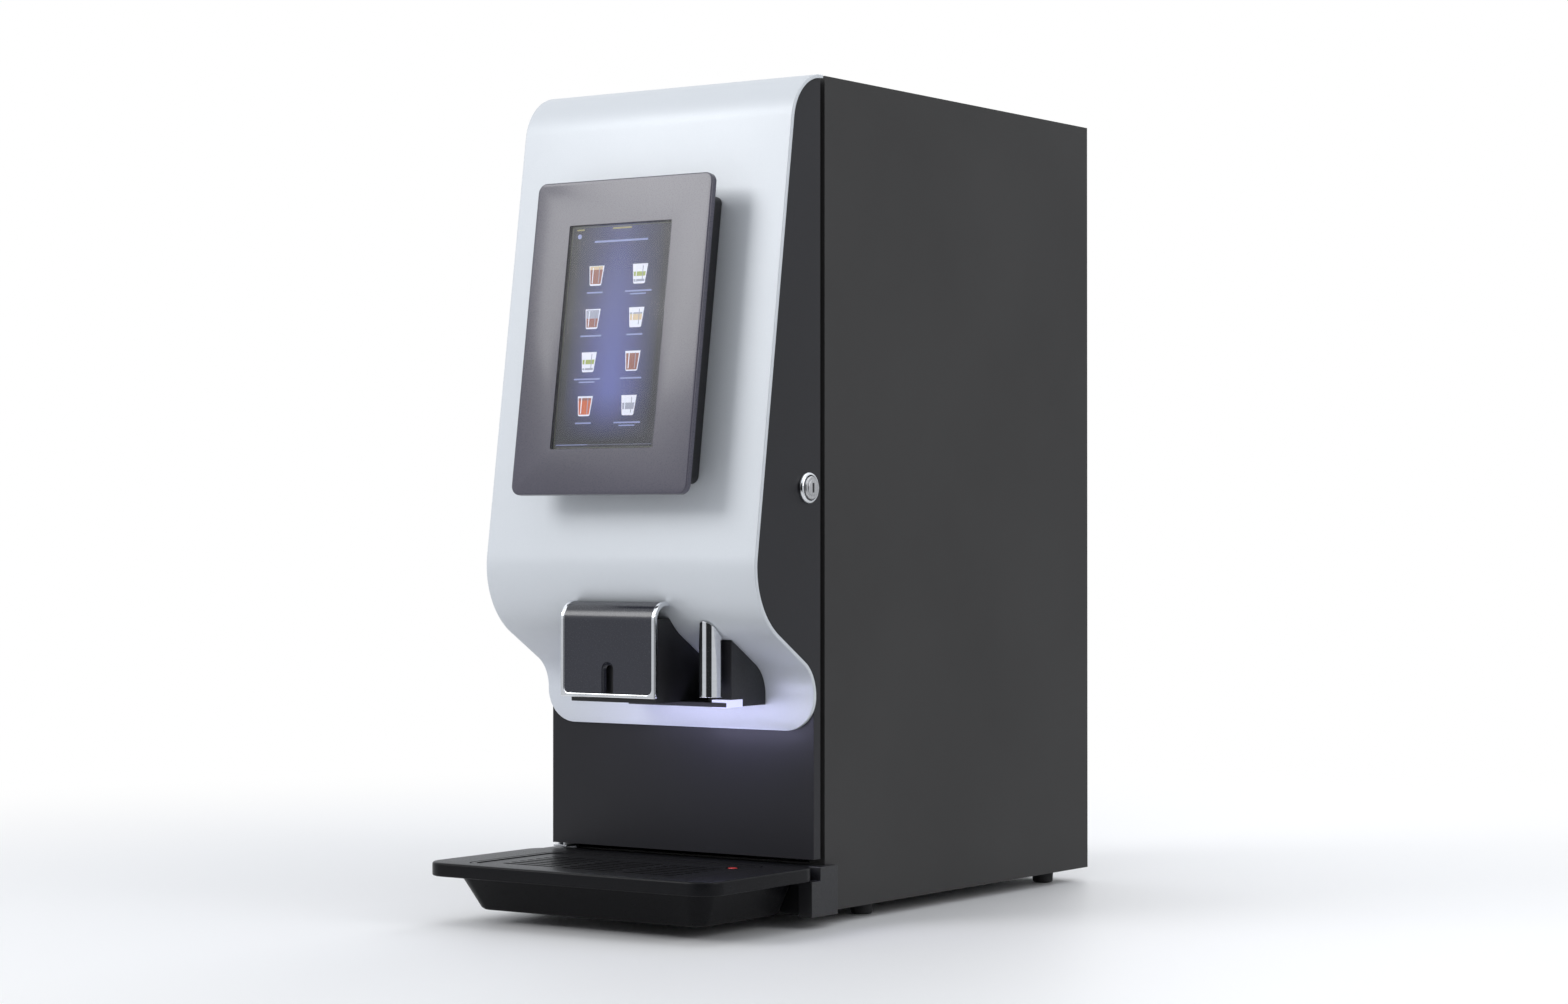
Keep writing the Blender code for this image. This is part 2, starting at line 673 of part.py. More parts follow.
def build_grid():
    y0, y1 = GRID_Y
    top = TRAY_TOP - 0.0001
    outline = rounded_rectangle(-GRID_HALF, GRID_HALF, y0, y1, 0.012, 4)
    grid = part("drip_grid", "moulded_black", (prism, outline, "z", top - GRID_THICK, top))
    through = (top - 0.01, top + 0.01)
    slots = []
    for column in range(3):
        middle = 0.0570 * (column - 1)
        for row in range(7):
            y = y0 + 0.022 + 0.0098 * row
            slots.append((box, middle - 0.0250, middle + 0.0250, y - 0.0022, y + 0.0022, *through))
    slots.append((rod, "z", FLOAT_AT, 0.0052, *through))
    cut(grid, *slots)


def build_float():
    profile = [(0.0200, 0.0030), (0.0202, 0.0070), (0.0270, 0.0070), (0.0275, 0.0036)]
    profile.append((TRAY_TOP - 0.0006, 0.0036))
    x, y = FLOAT_AT
    part("tray_float", "red_plastic", (turned, "z", FLOAT_AT, profile), origin=(x, y, 0.020), smooth=True)


def build_tray_bracket():
    half = BRACKET_HALF
    low, ledge, top = BRACKET_Z
    front, behind_tray, back = SPLIT_Y - 0.026, TRAY_BACK + 0.002, SPLIT_Y + 0.0024
    bracket = part("tray_bracket", "moulded_black", (box, -half, half, behind_tray, back, low, ledge))
    join(bracket, (box, -half, half, behind_tray, SPLIT_Y, ledge - 0.002, top))
    for side in (-1, 1):
        inner, outer = sorted((side * (half - 0.0125), side * half))
        join(bracket, (box, inner, outer, front, back - 0.001, low, ledge))
        inner, outer = sorted((side * (WIDTH / 2 + 0.0005), side * half))
        join(bracket, (box, inner, outer, behind_tray, SPLIT_Y + 0.009, low, top))


# ---- Door ----


def fascia_path():
    """The outer face of the fascia from the top's back edge down to its lower flat, as (y, z)."""
    return filleted(FASCIA_CORNERS)


def inside_of_fascia(distance):
    """The path this far behind the fascia's outer face."""
    return moved_aside(fascia_path(), distance)


def build_fascia():
    half = FASCIA_WIDTH / 2
    outer, inner = fascia_path(), inside_of_fascia(FASCIA_SHEET)
    stations = [(a, b, half) for a, b in zip(outer, inner)]
    steps = 8
    for i in range(1, steps + 1):
        angle = math.pi / 2 * i / steps
        z = FASCIA_BOTTOM + FASCIA_CORNER_R * (1 - math.sin(angle))
        width = half - FASCIA_CORNER_R * (1 - math.cos(angle))
        stations.append((Vector((outer[-1].x, z)), Vector((inner[-1].x, z)), width))
    rings = []
    for a, b, width in stations:
        rings.append(
            [(-width, a.x, a.y), (width, a.x, a.y), (width, b.x, b.y), (-width, b.x, b.y)]
        )
    fascia = part("fascia", "silver", (loft, rings), smooth=True)
    cut(
        fascia,
        (box, -FEED_HALF, FEED_HALF, SPLIT_Y - 0.12, SPLIT_Y, *FEED_SLOT_Z),
        (box, WATER_X - 0.0055, WATER_X + 0.0055, SPLIT_Y - 0.12, SPLIT_Y, *FEED_SLOT_Z),
    )


def door_outline(distance, back, bottom):
    """Side outline of the door this far behind the fascia, closed by a back edge and a bottom edge."""
    path = inside_of_fascia(distance)
    low_front = path[-1].x
    outline = [tuple(point) for point in path]
    outline[0] = (back, path[0].y)
    outline += [(low_front, bottom), (back, bottom)]
    return outline


def build_door_shell():
    half = WIDTH / 2
    skin = FASCIA_SHEET + CLEAR
    back = SPLIT_Y - DOOR_GAP
    shell = part(
        "door_shell", "moulded_black", (prism, door_outline(skin, back, DOOR_BOTTOM), "x", -half, half)
    )
    hollow = door_outline(skin + DOOR_WALL, back + 0.02, DOOR_BOTTOM + DOOR_WALL)
    cut(shell, (prism, hollow, "x", -half + DOOR_WALL, half - DOOR_WALL))
    wall_in = -half + DOOR_WALL / 2
    join(shell, (box, wall_in, HINGE_X + 0.0065, back - 0.0078, back, DOOR_BOTTOM + 0.001, 0.066))
    join(shell, (box, wall_in, HINGE_X + 0.0065, back - 0.0100, back, 0.605, 0.627))
    cut(
        shell,
        (rod, "z", (HINGE_X, HINGE_Y), PIN_HOLE_R, DOOR_BOTTOM - 0.01, 0.0645, 12),
        (rod, "z", (HINGE_X, HINGE_Y), PIN_HOLE_R, 0.6110, 0.6273, 12),
        (box, -half - 0.01, -half + DOOR_WALL + 0.0006, SPLIT_Y - 0.020, SPLIT_Y, 0.6275, 0.6320),
        (rod, "x", (LOCK_Y, LOCK_Z), LOCK_R + 0.0005, half - 0.01, half + 0.01, 20),
        (box, -FEED_HALF - 0.002, FEED_HALF + 0.002, SPLIT_Y - 0.12, SPLIT_Y - 0.008, 0.1955, 0.2240),
        (box, WATER_X - 0.0075, WATER_X + 0.0075, SPLIT_Y - 0.12, SPLIT_Y - 0.008, 0.1955, 0.2240),
    )


def build_door_liner():
    back = SPLIT_Y - DOOR_GAP - 0.001
    part("door_liner", "moulded_black", (box, -0.1232, 0.096, back - SHEET, back, 0.2450, 0.6000))


def build_hinges():
    y0, y1 = SPLIT_Y - 0.0120, SPLIT_Y + 0.0025
    leg = y1 - SHEET
    lower = part("hinge_bracket_lower", "steel", (box, -0.1255, -0.1125, y0, y1, 0.0478, 0.0493))
    join(lower, (box, -0.1255, -0.1125, leg, y1, 0.0365, 0.0485))
    join(lower, (rod, "z", (HINGE_X, HINGE_Y), PIN_R, 0.0485, 0.0635, 12))
    upper = part("hinge_bracket_upper", "steel", (box, -0.1232, -0.1150, y0 + 0.001, y1, 0.6288, 0.6303))
    join(upper, (box, -0.1232, -0.1150, leg, y1, 0.6060, 0.6295))
    join(upper, (rod, "z", (HINGE_X, HINGE_Y), PIN_R * 0.8, 0.6120, 0.6295, 12))


# ---- Screen, built flat and then leaned onto the fascia ----


def leaned(obj):
    """Places an object built in the screen's frame: x across, y up the lean, z out from the fascia."""
    y = SPLIT_Y - 0.0459 - (0.598 - SCREEN_Z) * math.tan(LEAN)
    across = Vector((1.0, 0.0, 0.0))
    up = Vector((0.0, math.sin(LEAN), math.cos(LEAN)))
    out = across.cross(up)
    turn = Matrix((across, up, out)).transposed()
    obj.matrix_world = Matrix.Translation((0.0, y, SCREEN_Z)) @ turn.to_4x4()
    return obj


def build_screen():
    half_w, half_h = BEZEL_W / 2, BEZEL_H / 2
    inner_w, inner_h = half_w - HOUSING_INSET, half_h - HOUSING_INSET
    rear = rounded_rectangle(-inner_w, inner_w, -inner_h, inner_h, 0.006)
    housing_front = BEZEL_BACK - CLEAR
    housing = part("screen_housing", "moulded_black", (prism, rear, "z", CLEAR + 0.0004, housing_front))
    hollow = rounded_rectangle(
        -inner_w + 0.003, inner_w - 0.003, -inner_h + 0.003, inner_h - 0.003, 0.004
    )
    cut(housing, (prism, hollow, "z", 0.0040, housing_front + 0.01))
    leaned(housing)
    ease = 0.0008
    plate = rounded_rectangle(-half_w, half_w, -half_h, half_h, BEZEL_R, 4)
    face = rounded_rectangle(-half_w + ease, half_w - ease, -half_h + ease, half_h - ease, BEZEL_R - ease, 4)
    rings = [on_plane(plate, "z", BEZEL_BACK), on_plane(plate, "z", BEZEL_FRONT - ease)]
    rings.append(on_plane(face, "z", BEZEL_FRONT))
    bezel = part("screen_bezel", "bezel_grey", (loft, rings))
    window_x, window_y = GLASS_W / 2 + CLEAR, GLASS_H / 2 + CLEAR
    window = rectangle(-window_x, window_x, -window_y, window_y)
    cut(bezel, (prism, window, "z", BEZEL_BACK - 0.01, BEZEL_FRONT + 0.01))
    leaned(bezel)
    glass = rectangle(-GLASS_W / 2, GLASS_W / 2, -GLASS_H / 2, GLASS_H / 2)
    leaned(part("touch_glass", "screen", (prism, glass, "z", BEZEL_BACK + 0.0005, BEZEL_FRONT - 0.0003)))


# ---- Outlets ----


def before_fascia(front, bottom, top=None):
    """Side outline of what hangs under the belly, from a front plane back to the fascia.

    A front plane ahead of the belly needs the height at which it stops.
    """
    path = moved_aside(fascia_path(), -2 * CLEAR)
    foremost = min(range(len(path)), key=lambda i: path[i].x)
    under = path[foremost:]
    outline = [(front, bottom)]
    if top:
        outline.append((front, top))
        for above, below in zip(under, under[1:]):
            if below.y < top <= above.y:
                outline.append(tuple(above.lerp(below, (above.y - top) / (above.y - below.y))))
        outline += [tuple(point) for point in under if point.y < top]
    else:
        for above, below in zip(under, under[1:]):
            if above.x < front <= below.x:
                outline.append(tuple(above.lerp(below, (front - above.x) / (below.x - above.x))))
        outline += [tuple(point) for point in under if point.x > front]
    return outline + [(under[-1].x, bottom)]


def build_outlet_housing():
    inner = SPOUT_HALF - TRIM - 0.0015
    low = HOUSING_BOTTOM
    wall = FASCIA_CORNERS[-1][0] - 2 * CLEAR
    housing = part(
        "outlet_housing",
        "moulded_black",
        (prism, before_fascia(HOUSING_FRONT, low, HOUSING_TOP), "x", -inner, inner),
    )
    join(housing, (prism, before_fascia(WATER_FRONT + 0.0190, low), "x", *WATER_SIDE_X))
    join(housing, (box, inner - 0.005, WATER_X, wall - 0.010, wall - 0.0003, low + 0.0003, 0.1775))
    hollow = inner - 0.0025
    cut(housing, (box, -hollow, hollow, HOUSING_FRONT + 0.0025, wall - 0.004, low - 0.01, 0.2180))
    cut(
        housing,
        (box, -FEED_HALF, FEED_HALF, HOUSING_FRONT + 0.0165, SPLIT_Y, FEED_SLOT_Z[0], 0.2160),
        (box, WATER_X - 0.0055, WATER_X + 0.0055, WATER_FRONT + 0.0090, SPLIT_Y, FEED_SLOT_Z[0], 0.2110),
    )
    join(housing, (box, *BASE_X, BASE_FRONT, wall - 0.0005, *BASE_Z))
    x0, y0, y1 = LENS_X[0] - CLEAR, LENS_Y[0] - CLEAR, LENS_Y[1] + CLEAR
    cut(housing, (box, x0, BASE_X[1] + 0.01, y0, y1, low - 0.01, low + 0.0030))


def cover_outline(front, bottom, depth):
    """Side outline of the cover, this thick: a flat front that bends back at the top to meet the belly."""
    radius = SPOUT_BEND_R - (front - SPOUT_FRONT)
    centre = Vector((SPOUT_FRONT + SPOUT_BEND_R, SPOUT_TOP - SPOUT_BEND_R))
    belly = SPLIT_Y - 0.0870
    outer, inner = [], []
    for i in range(7):
        angle = math.pi - math.pi / 2 * i / 6
        direction = Vector((math.cos(angle), math.sin(angle)))
        outer.append(centre + direction * radius)
        inner.append(centre + direction * (radius - depth))
    ends = [(belly, centre.y + radius), (belly + 0.0032, centre.y + radius - depth)]
    return [(front, bottom)] + outer + ends + inner[::-1] + [(front + depth, bottom)]


def build_spout_cover():
    inner = SPOUT_HALF - TRIM
    outline = cover_outline(SPOUT_FRONT, SPOUT_BOTTOM + TRIM + CLEAR, COVER_DEPTH)
    cover = part("spout_cover", "moulded_black", (prism, outline, "x", -inner, inner))
    low, high = SPOUT_BOTTOM + TRIM + CLEAR, SPOUT_TOP + 0.05
    window = rounded_rectangle(-inner + CLEAR, inner - CLEAR, low, high, 0.005)
    combine(cover, "INTERSECT", [(prism, window, "y", SPOUT_FRONT - 0.02, SPOUT_FRONT + 0.05)])
    groove_y = SPOUT_FRONT - 0.0020
    profile = [(SPOUT_BOTTOM - 0.01, GROOVE_R), (GROOVE_TOP - GROOVE_R, GROOVE_R)]
    for i in range(1, 5):
        angle = math.radians(20 * i)
        profile.append((GROOVE_TOP - GROOVE_R * (1 - math.sin(angle)), GROOVE_R * math.cos(angle)))
    cut(cover, (turned, "z", (0.0, groove_y), profile, 20))
    around = cover_outline(SPOUT_FRONT - 0.0006, SPOUT_BOTTOM, COVER_DEPTH + 0.0008)
    trim = part("spout_trim", "chrome", (prism, around, "x", -SPOUT_HALF, SPOUT_HALF))
    opening = rounded_rectangle(-inner, inner, low - CLEAR, high, 0.005)
    cut(trim, (prism, opening, "y", SPOUT_FRONT - 0.02, SPOUT_FRONT + 0.05))


def build_nozzles():
    inlet_y = SPLIT_Y - 0.0045
    block = part(
        "nozzle_block",
        "moulded_black",
        (box, -0.0200, 0.0200, NOZZLE_Y - 0.0120, NOZZLE_Y + 0.0120, FEED_Z - 0.0080, FEED_Z + 0.0070),
    )
    for x in (-NOZZLE_X, NOZZLE_X):
        join(block, (rod, "y", (x, FEED_Z), 0.0065, NOZZLE_Y + 0.0060, inlet_y, 12))
        join(block, (rod, "z", (x, NOZZLE_Y), 0.0050, 0.1760, FEED_Z - 0.0070, 12))
    for x in (-NOZZLE_X, NOZZLE_X):
        cut(block, (rod, "y", (x, FEED_Z), 0.0045, NOZZLE_Y - 0.0020, inlet_y + 0.01, 10))
        cut(block, (rod, "z", (x, NOZZLE_Y), 0.0030, 0.1700, FEED_Z - 0.0010, 10))
    y = WATER_FRONT + WATER_R
    bend = [(inlet_y, 0.0), (y + 0.016, 0.0), (y + 0.006, -0.0025), (y + 0.001, -0.0100), (y, -0.0170)]
    path = [Vector((WATER_X, across, FEED_Z + drop)) for across, drop in bend]
    path.append(Vector((WATER_X, y, 0.1765)))
    part("hot_water_tube", "steel", (tube, path, 0.0034, 0.0024), smooth=True)


def under_belly(y):
    """Where the fascia's underside crosses this depth, and the way it runs there, both as (y, z)."""
    path = fascia_path()
    for above, below in zip(path, path[1:]):
        if above.x < y <= below.x:
            return above.lerp(below, (y - above.x) / (below.x - above.x)), (below - above).normalized()


def build_water_cover():
    """A half pipe with short straight legs, cut off under the belly."""
    centre_y = WATER_FRONT + WATER_R
    leg = centre_y + WATER_LEG
    count = 10
    outline = []
    for radius, turn in ((WATER_R, 1), (WATER_R - 0.0013, -1)):
        half_pipe = [(WATER_X - radius, leg)]
        for i in range(count + 1):
            angle = math.pi * i / count
            half_pipe.append((WATER_X - radius * math.cos(angle), centre_y - radius * math.sin(angle)))
        half_pipe.append((WATER_X + radius, leg))
        outline += half_pipe[::turn]
    bm = bmesh.new()
    prism(bm, outline, "z", WATER_BOTTOM, SPOUT_TOP)
    point, along = under_belly(centre_y)
    cuts = bmesh.ops.bisect_plane(
        bm,
        geom=bm.verts[:] + bm.edges[:] + bm.faces[:],
        plane_co=Vector((WATER_X, point.x, point.y - 0.0010)),
        plane_no=Vector((0.0, -along.y, along.x)),
        clear_outer=True,
    )
    rim = [edge for edge in cuts["geom_cut"] if isinstance(edge, bmesh.types.BMEdge)]
    bmesh.ops.contextual_create(bm, geom=rim)
    bmesh.ops.recalc_face_normals(bm, faces=bm.faces)
    add_object("water_cover", bm, "chrome", smooth=True)


def build_cup_light():
    (x0, x1), (y0, y1) = LENS_X, LENS_Y
    top = HOUSING_BOTTOM + 0.0026
    part("cup_light_lens", "clear_white", (box, x0, x1, y0, y1, BASE_Z[0] - 0.0006, top))


# ---- Lock ----


def polar(radius, degrees):
    """A point of the lock's hook at rest: the hook's own angle plus a quarter turn, as (y, z)."""
    angle = math.radians(degrees + 90)
    return (LOCK_Y + radius * math.cos(angle), LOCK_Z + radius * math.sin(angle))


def build_lock():
    wall = WIDTH / 2
    at = (LOCK_Y, LOCK_Z)
    rim = [(wall + CLEAR, 0.0120), (wall + 0.0020, 0.0120), (wall + 0.0032, 0.0108)]
    ring = part("lock_ring", "chrome", (turned, "x", at, rim, 24), smooth=True)
    cut(ring, (rod, "x", at, LOCK_R + 0.0004, wall - 0.01, wall + 0.01, 20))
    plug = [(HOOK_X[0], LOCK_R), (wall + 0.0040, LOCK_R), (wall + 0.0048, LOCK_R - 0.0008)]
    barrel = part(
        "lock_barrel", "chrome", (turned, "x", at, plug, 20), origin=(wall, LOCK_Y, LOCK_Z), smooth=True
    )
    hook = [polar(0.0050, 12)]
    hook += [polar(0.0295, degrees) for degrees in (12, 4, -4, -12)]
    hook += [polar(0.0345, degrees) for degrees in (-12, 0, 12, 24, 35)]
    hook.append(polar(0.0050, 35))
    join(barrel, (prism, hook, "x", HOOK_X[0] + 0.0002, HOOK_X[1]))
    key_slot = (LOCK_Y - 0.0011, LOCK_Y + 0.0011, LOCK_Z - 0.0045, LOCK_Z + 0.0045)
    cut(barrel, (box, wall + 0.0020, wall + 0.01, *key_slot))


# ---- The machine ----


def main():
    for obj in list(bpy.data.objects):
        bpy.data.objects.remove(obj, do_unlink=True)
    build_cabinet()
    build_base()
    build_feet()
    build_back_panel()
    build_rear_fittings()
    build_inner_frame()
    for side, x in CANISTER_X.items():
        build_canister(side, x)
        build_auger(side, x)
        build_canister_outlet(side, x)
        build_auger_motor(side, x)
    for side in MIXER_X:
        build_mixer(side)
    build_water_system()
    build_electrics()
    build_fan()
    build_tray()
    build_grid()
    build_float()
    build_tray_bracket()
    build_hinges()
    build_door_shell()
    build_door_liner()
    build_fascia()
    build_screen()
    build_outlet_housing()
    build_spout_cover()
    build_nozzles()
    build_water_cover()
    build_cup_light()
    build_lock()


main()
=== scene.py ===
"""Looks of the table-top hot drinks machine: fine surfaces, small parts and materials.

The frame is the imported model's: +Z up, front towards -Y. Shapes are drawn in millimetres and scaled
to metres as they become objects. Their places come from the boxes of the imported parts.
"""

import json
import math

import bmesh
import bpy
from mathutils import Matrix, Vector


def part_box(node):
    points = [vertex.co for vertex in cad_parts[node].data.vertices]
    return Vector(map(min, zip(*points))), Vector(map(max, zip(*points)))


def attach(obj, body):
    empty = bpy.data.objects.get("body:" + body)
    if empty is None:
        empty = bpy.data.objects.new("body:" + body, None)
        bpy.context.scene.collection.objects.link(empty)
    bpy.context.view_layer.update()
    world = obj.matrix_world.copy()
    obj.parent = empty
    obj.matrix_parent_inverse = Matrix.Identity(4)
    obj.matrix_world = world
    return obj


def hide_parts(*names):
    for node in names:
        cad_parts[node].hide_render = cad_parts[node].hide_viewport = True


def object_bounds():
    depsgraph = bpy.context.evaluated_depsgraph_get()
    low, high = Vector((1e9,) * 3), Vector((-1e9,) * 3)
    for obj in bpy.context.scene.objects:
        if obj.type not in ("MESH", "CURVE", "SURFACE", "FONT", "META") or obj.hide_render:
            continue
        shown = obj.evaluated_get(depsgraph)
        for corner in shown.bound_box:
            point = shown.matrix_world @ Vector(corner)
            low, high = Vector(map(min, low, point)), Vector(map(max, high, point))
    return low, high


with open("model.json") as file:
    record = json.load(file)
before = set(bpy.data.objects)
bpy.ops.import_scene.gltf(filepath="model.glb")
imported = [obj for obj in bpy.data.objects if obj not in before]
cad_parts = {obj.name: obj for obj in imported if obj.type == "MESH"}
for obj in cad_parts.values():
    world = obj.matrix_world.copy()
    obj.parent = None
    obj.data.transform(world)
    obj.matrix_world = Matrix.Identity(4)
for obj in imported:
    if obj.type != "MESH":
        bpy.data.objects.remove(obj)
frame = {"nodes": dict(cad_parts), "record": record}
cad_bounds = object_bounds()

NODES = frame["nodes"]
SLOTS = {part["node"]: part["material_slot"] for part in frame["record"]["subparts"]}
SLOTS["spout_cover"] = "bezel"
MM = 0.001
MICRON = 0.000001
QUARTER = math.pi / 2


def packed(name):
    """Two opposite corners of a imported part, in millimetres."""
    return [Vector(corner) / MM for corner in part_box(name)]


def middle_of(name):
    low, high = packed(name)
    return (low + high) / 2


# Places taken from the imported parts
CABINET = packed("cabinet_shell")
DOOR = packed("door_shell")
FASCIA = packed("fascia")
COVER = packed("spout_cover")
TRIM = packed("spout_trim")
WATER = packed("water_cover")
LENS = packed("cup_light_lens")
TRAY = packed("drip_tray")
GRID_LO, GRID_HI = packed("drip_grid")
PANEL = packed("back_panel")
INLET = middle_of("inlet_valve")
FLOAT = middle_of("tray_float")
LOCK = middle_of("lock_ring")
SPLIT_Y = (CABINET[0].y + DOOR[1].y) / 2

# Fascia profile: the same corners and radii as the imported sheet
LEAN = math.radians(8.17)
SHEET = 2.7
FASCIA_CORNER_R = 26
FASCIA_CORNERS = (
    (FASCIA[1].y, FASCIA[1].z, 0),
    (SPLIT_Y - 39.1, FASCIA[1].z, 41),
    (SPLIT_Y - 97.2, 240.8, 62),
    (SPLIT_Y - 15, 190.5, 28),
    (SPLIT_Y - 15, FASCIA[0].z + FASCIA_CORNER_R, 0),
)

# Screen, in its leaning frame
SCREEN_Z = 443
BEZEL_W, BEZEL_H, BEZEL_R = 167, 243.5, 7.5
BEZEL_BACK, BEZEL_FRONT = 26.8, 32
GLASS_W, GLASS_H = 97, 173
DISPLAY_Z = BEZEL_FRONT - 3.2
LAYER = 0.12

# Drink signs: half widths at top and bottom, height, places, and each one's bands from its foot up
ICON_TOP, ICON_BOTTOM, ICON_HEIGHT = 7.2, 5.6, 15.4
COLUMNS = (-21.2, 20.5)
ROWS = [GLASS_H * share for share in (0.273, 0.079, -0.114, -0.310)]
DRINKS = (
    (("brown", 0.08, 0.80), ("cream", 0.80, 0.97)),
    (("green", 0.38, 0.60), ("shade", 0.10, 0.22)),
    (("brown", 0.08, 0.52), ("shade", 0.52, 0.94)),
    (("cream", 0.36, 0.66), ("shade", 0.66, 0.74)),
    (("green", 0.40, 0.62), ("shade", 0.10, 0.20)),
    (("brown", 0.06, 0.88),),
    (("red", 0.08, 0.78), ("brown", 0.78, 0.90)),
    (("shade", 0.30, 0.62),),
)

# Outlets
COVER_HALF = (COVER[1].x - COVER[0].x) / 2
TRIM_HALF = (TRIM[1].x - TRIM[0].x) / 2
SPOUT_FRONT = COVER[0].y
SPOUT_TOP = COVER[1].z
SPOUT_BOTTOM = TRIM[0].z
SPOUT_BEND_R = 14
COVER_DEPTH = 3
BELLY_Y = SPLIT_Y - 87
HOUSING_FLOOR = 170
GROOVE_R = 6
GROOVE_TOP = 201
WATER_X = (WATER[0].x + WATER[1].x) / 2
WATER_R = (WATER[1].x - WATER[0].x) / 2
WATER_Y = WATER[0].y + WATER_R
WATER_SIDE_X = (62.5, 84)
BASE_X = (-8, 84)
BASE_FRONT = SPLIT_Y - 67
BASE_Z = (167.2, 170.6)
NOZZLE_Y = SPLIT_Y - 76

# Tray, mixers and door seal
TRAY_RIM, TRAY_R = 10.5, 20
MIXER_PLATE_Y = -46
MIXER_X = {"left": -41.5, "right": 57.5}
MIXER_Z = 262
OUTLET_Z = 377
SEAL_INSET, SEAL_WIDTH, SEAL_R = 6, 2.6, 8

# Camera
CAMERA_AZIMUTH = math.radians(34.8)
CAMERA_DISTANCE, CAMERA_HEIGHT = 2.69, 0.303
CAMERA_LENS, CAMERA_SENSOR = 76, 36

SIDES = ("left", "middle", "right")
PAIR = ("left", "right")


# ---- Outlines ----


def arc(cx, cy, radius, start, sweep, steps):
    angles = [start + sweep * i / steps for i in range(steps + 1)]
    return [(cx + radius * math.cos(a), cy + radius * math.sin(a)) for a in angles]


def circle(cx, cy, radius, count=48, start=0):
    return arc(cx, cy, radius, start, math.tau, count)[:-1]


def rectangle(x0, x1, y0, y1):
    return [(x0, y0), (x1, y0), (x1, y1), (x0, y1)]


def rounded_rect(x0, x1, y0, y1, radius, steps=8):
    corners = (
        (x0 + radius, y0 + radius, QUARTER * 2),
        (x1 - radius, y0 + radius, QUARTER * 3),
        (x1 - radius, y1 - radius, 0),
        (x0 + radius, y1 - radius, QUARTER),
    )
    return [point for cx, cy, start in corners for point in arc(cx, cy, radius, start, QUARTER, steps)]


def centred_rect(half_w, half_h, radius, steps=8):
    return rounded_rect(-half_w, half_w, -half_h, half_h, radius, steps)


def round_over(edge, steps):
    """Steps round an eased edge, each as (in from the side, down from the face)."""
    angles = [QUARTER * i / steps for i in range(steps + 1)]
    return [(edge * (1 - math.cos(a)), edge * (1 - math.sin(a))) for a in angles]


def filleted(corners, steps):
    """An open path through (a, b, radius) corners, with an arc at each inner corner."""
    points = [Vector(corners[0][:2])]
    for before, here, after in zip(corners, corners[1:], corners[2:]):
        radius = here[2]
        corner = Vector(here[:2])
        back = (Vector(before[:2]) - corner).normalized()
        ahead = (Vector(after[:2]) - corner).normalized()
        half = back.angle(ahead) / 2
        centre = corner + (back + ahead).normalized() * (radius / math.sin(half))
        first = corner + back * (radius / math.tan(half)) - centre
        sweep = math.pi - 2 * half
        if first.x * back.y - first.y * back.x > 0:
            sweep = -sweep
        start = math.atan2(first.y, first.x)
        points += [Vector(point) for point in arc(*centre, radius, start, sweep, steps)]
    points.append(Vector(corners[-1][:2]))
    return points


def moved_aside(path, distance):
    """The open path shifted along its left-hand normals."""
    shifted = []
    for i, point in enumerate(path):
        before = path[max(i - 1, 0)]
        after = path[min(i + 1, len(path) - 1)]
        along = (after - before).normalized()
        shifted.append(point + Vector((-along.y, along.x)) * distance)
    return shifted


def fascia_path(steps=24):
    return filleted(FASCIA_CORNERS, steps)


def smooth_path(points, steps=10):
    """A Catmull-Rom curve through the points."""
    points = [Vector(point) for point in points]
    found = []
    ends = [points[0], *points, points[-1]]
    for p0, p1, p2, p3 in zip(ends, ends[1:], ends[2:], ends[3:]):
        for i in range(steps):
            t = i / steps
            bend = (2 * p0 - 5 * p1 + 4 * p2 - p3) * t**2
            twist = (3 * p1 - p0 - 3 * p2 + p3) * t**3
            found.append(0.5 * (2 * p1 + (p2 - p0) * t + bend + twist))
    found.append(points[-1])
    return found


# ---- Shapes added to a bmesh ----


def on_plane(points, axis, level):
    """The flat points in space, at this level of the axis."""
    at = "xyz".index(axis)
    return [Vector((*point[:at], level, *point[at:])) for point in points]


def loft(bm, rings, capped=True):
    """A skin over the rings, closed by end faces or back to the first ring."""
    rows = [[bm.verts.new(point) for point in ring] for ring in rings]
    pairs = list(zip(rows, rows[1:]))
    if not capped:
        pairs.append((rows[-1], rows[0]))
    made = []
    for low, high in pairs:
        for i in range(len(low)):
            j = (i + 1) % len(low)
            made.append(bm.faces.new((low[i], low[j], high[j], high[i])))
    if capped:
        made.append(bm.faces.new(rows[0]))
        made.append(bm.faces.new(rows[-1]))
    bmesh.ops.recalc_face_normals(bm, faces=made)


def prism(bm, outline, axis, low, high):
    loft(bm, [on_plane(outline, axis, low), on_plane(outline, axis, high)])


def box(bm, x0, x1, y0, y1, z0, z1):
    prism(bm, rectangle(x0, x1, y0, y1), "z", z0, z1)


def rod(bm, axis, centre, radius, low, high, count=40):
    prism(bm, circle(*centre, radius, count), axis, low, high)


def turned(bm, axis, centre, profile, count=48, capped=True):
    """A round shape through (level, radius) pairs along the axis."""
    rings = [on_plane(circle(*centre, radius, count), axis, level) for level, radius in profile]
    loft(bm, rings, capped)


def ring(bm, axis, centre, outer, inner, low, high):
    """A short open tube."""
    turned(bm, axis, centre, [(low, outer), (high, outer), (high, inner), (low, inner)], 40, False)


def soft_disc(bm, axis, centre, low, high, radius, edge, count=48):
    """A disc or pin with a rounded edge at its high end."""
    profile = [(low, radius)]
    profile += [(high - drop, radius - inset) for inset, drop in round_over(edge, 4)]
    turned(bm, axis, centre, profile, count)


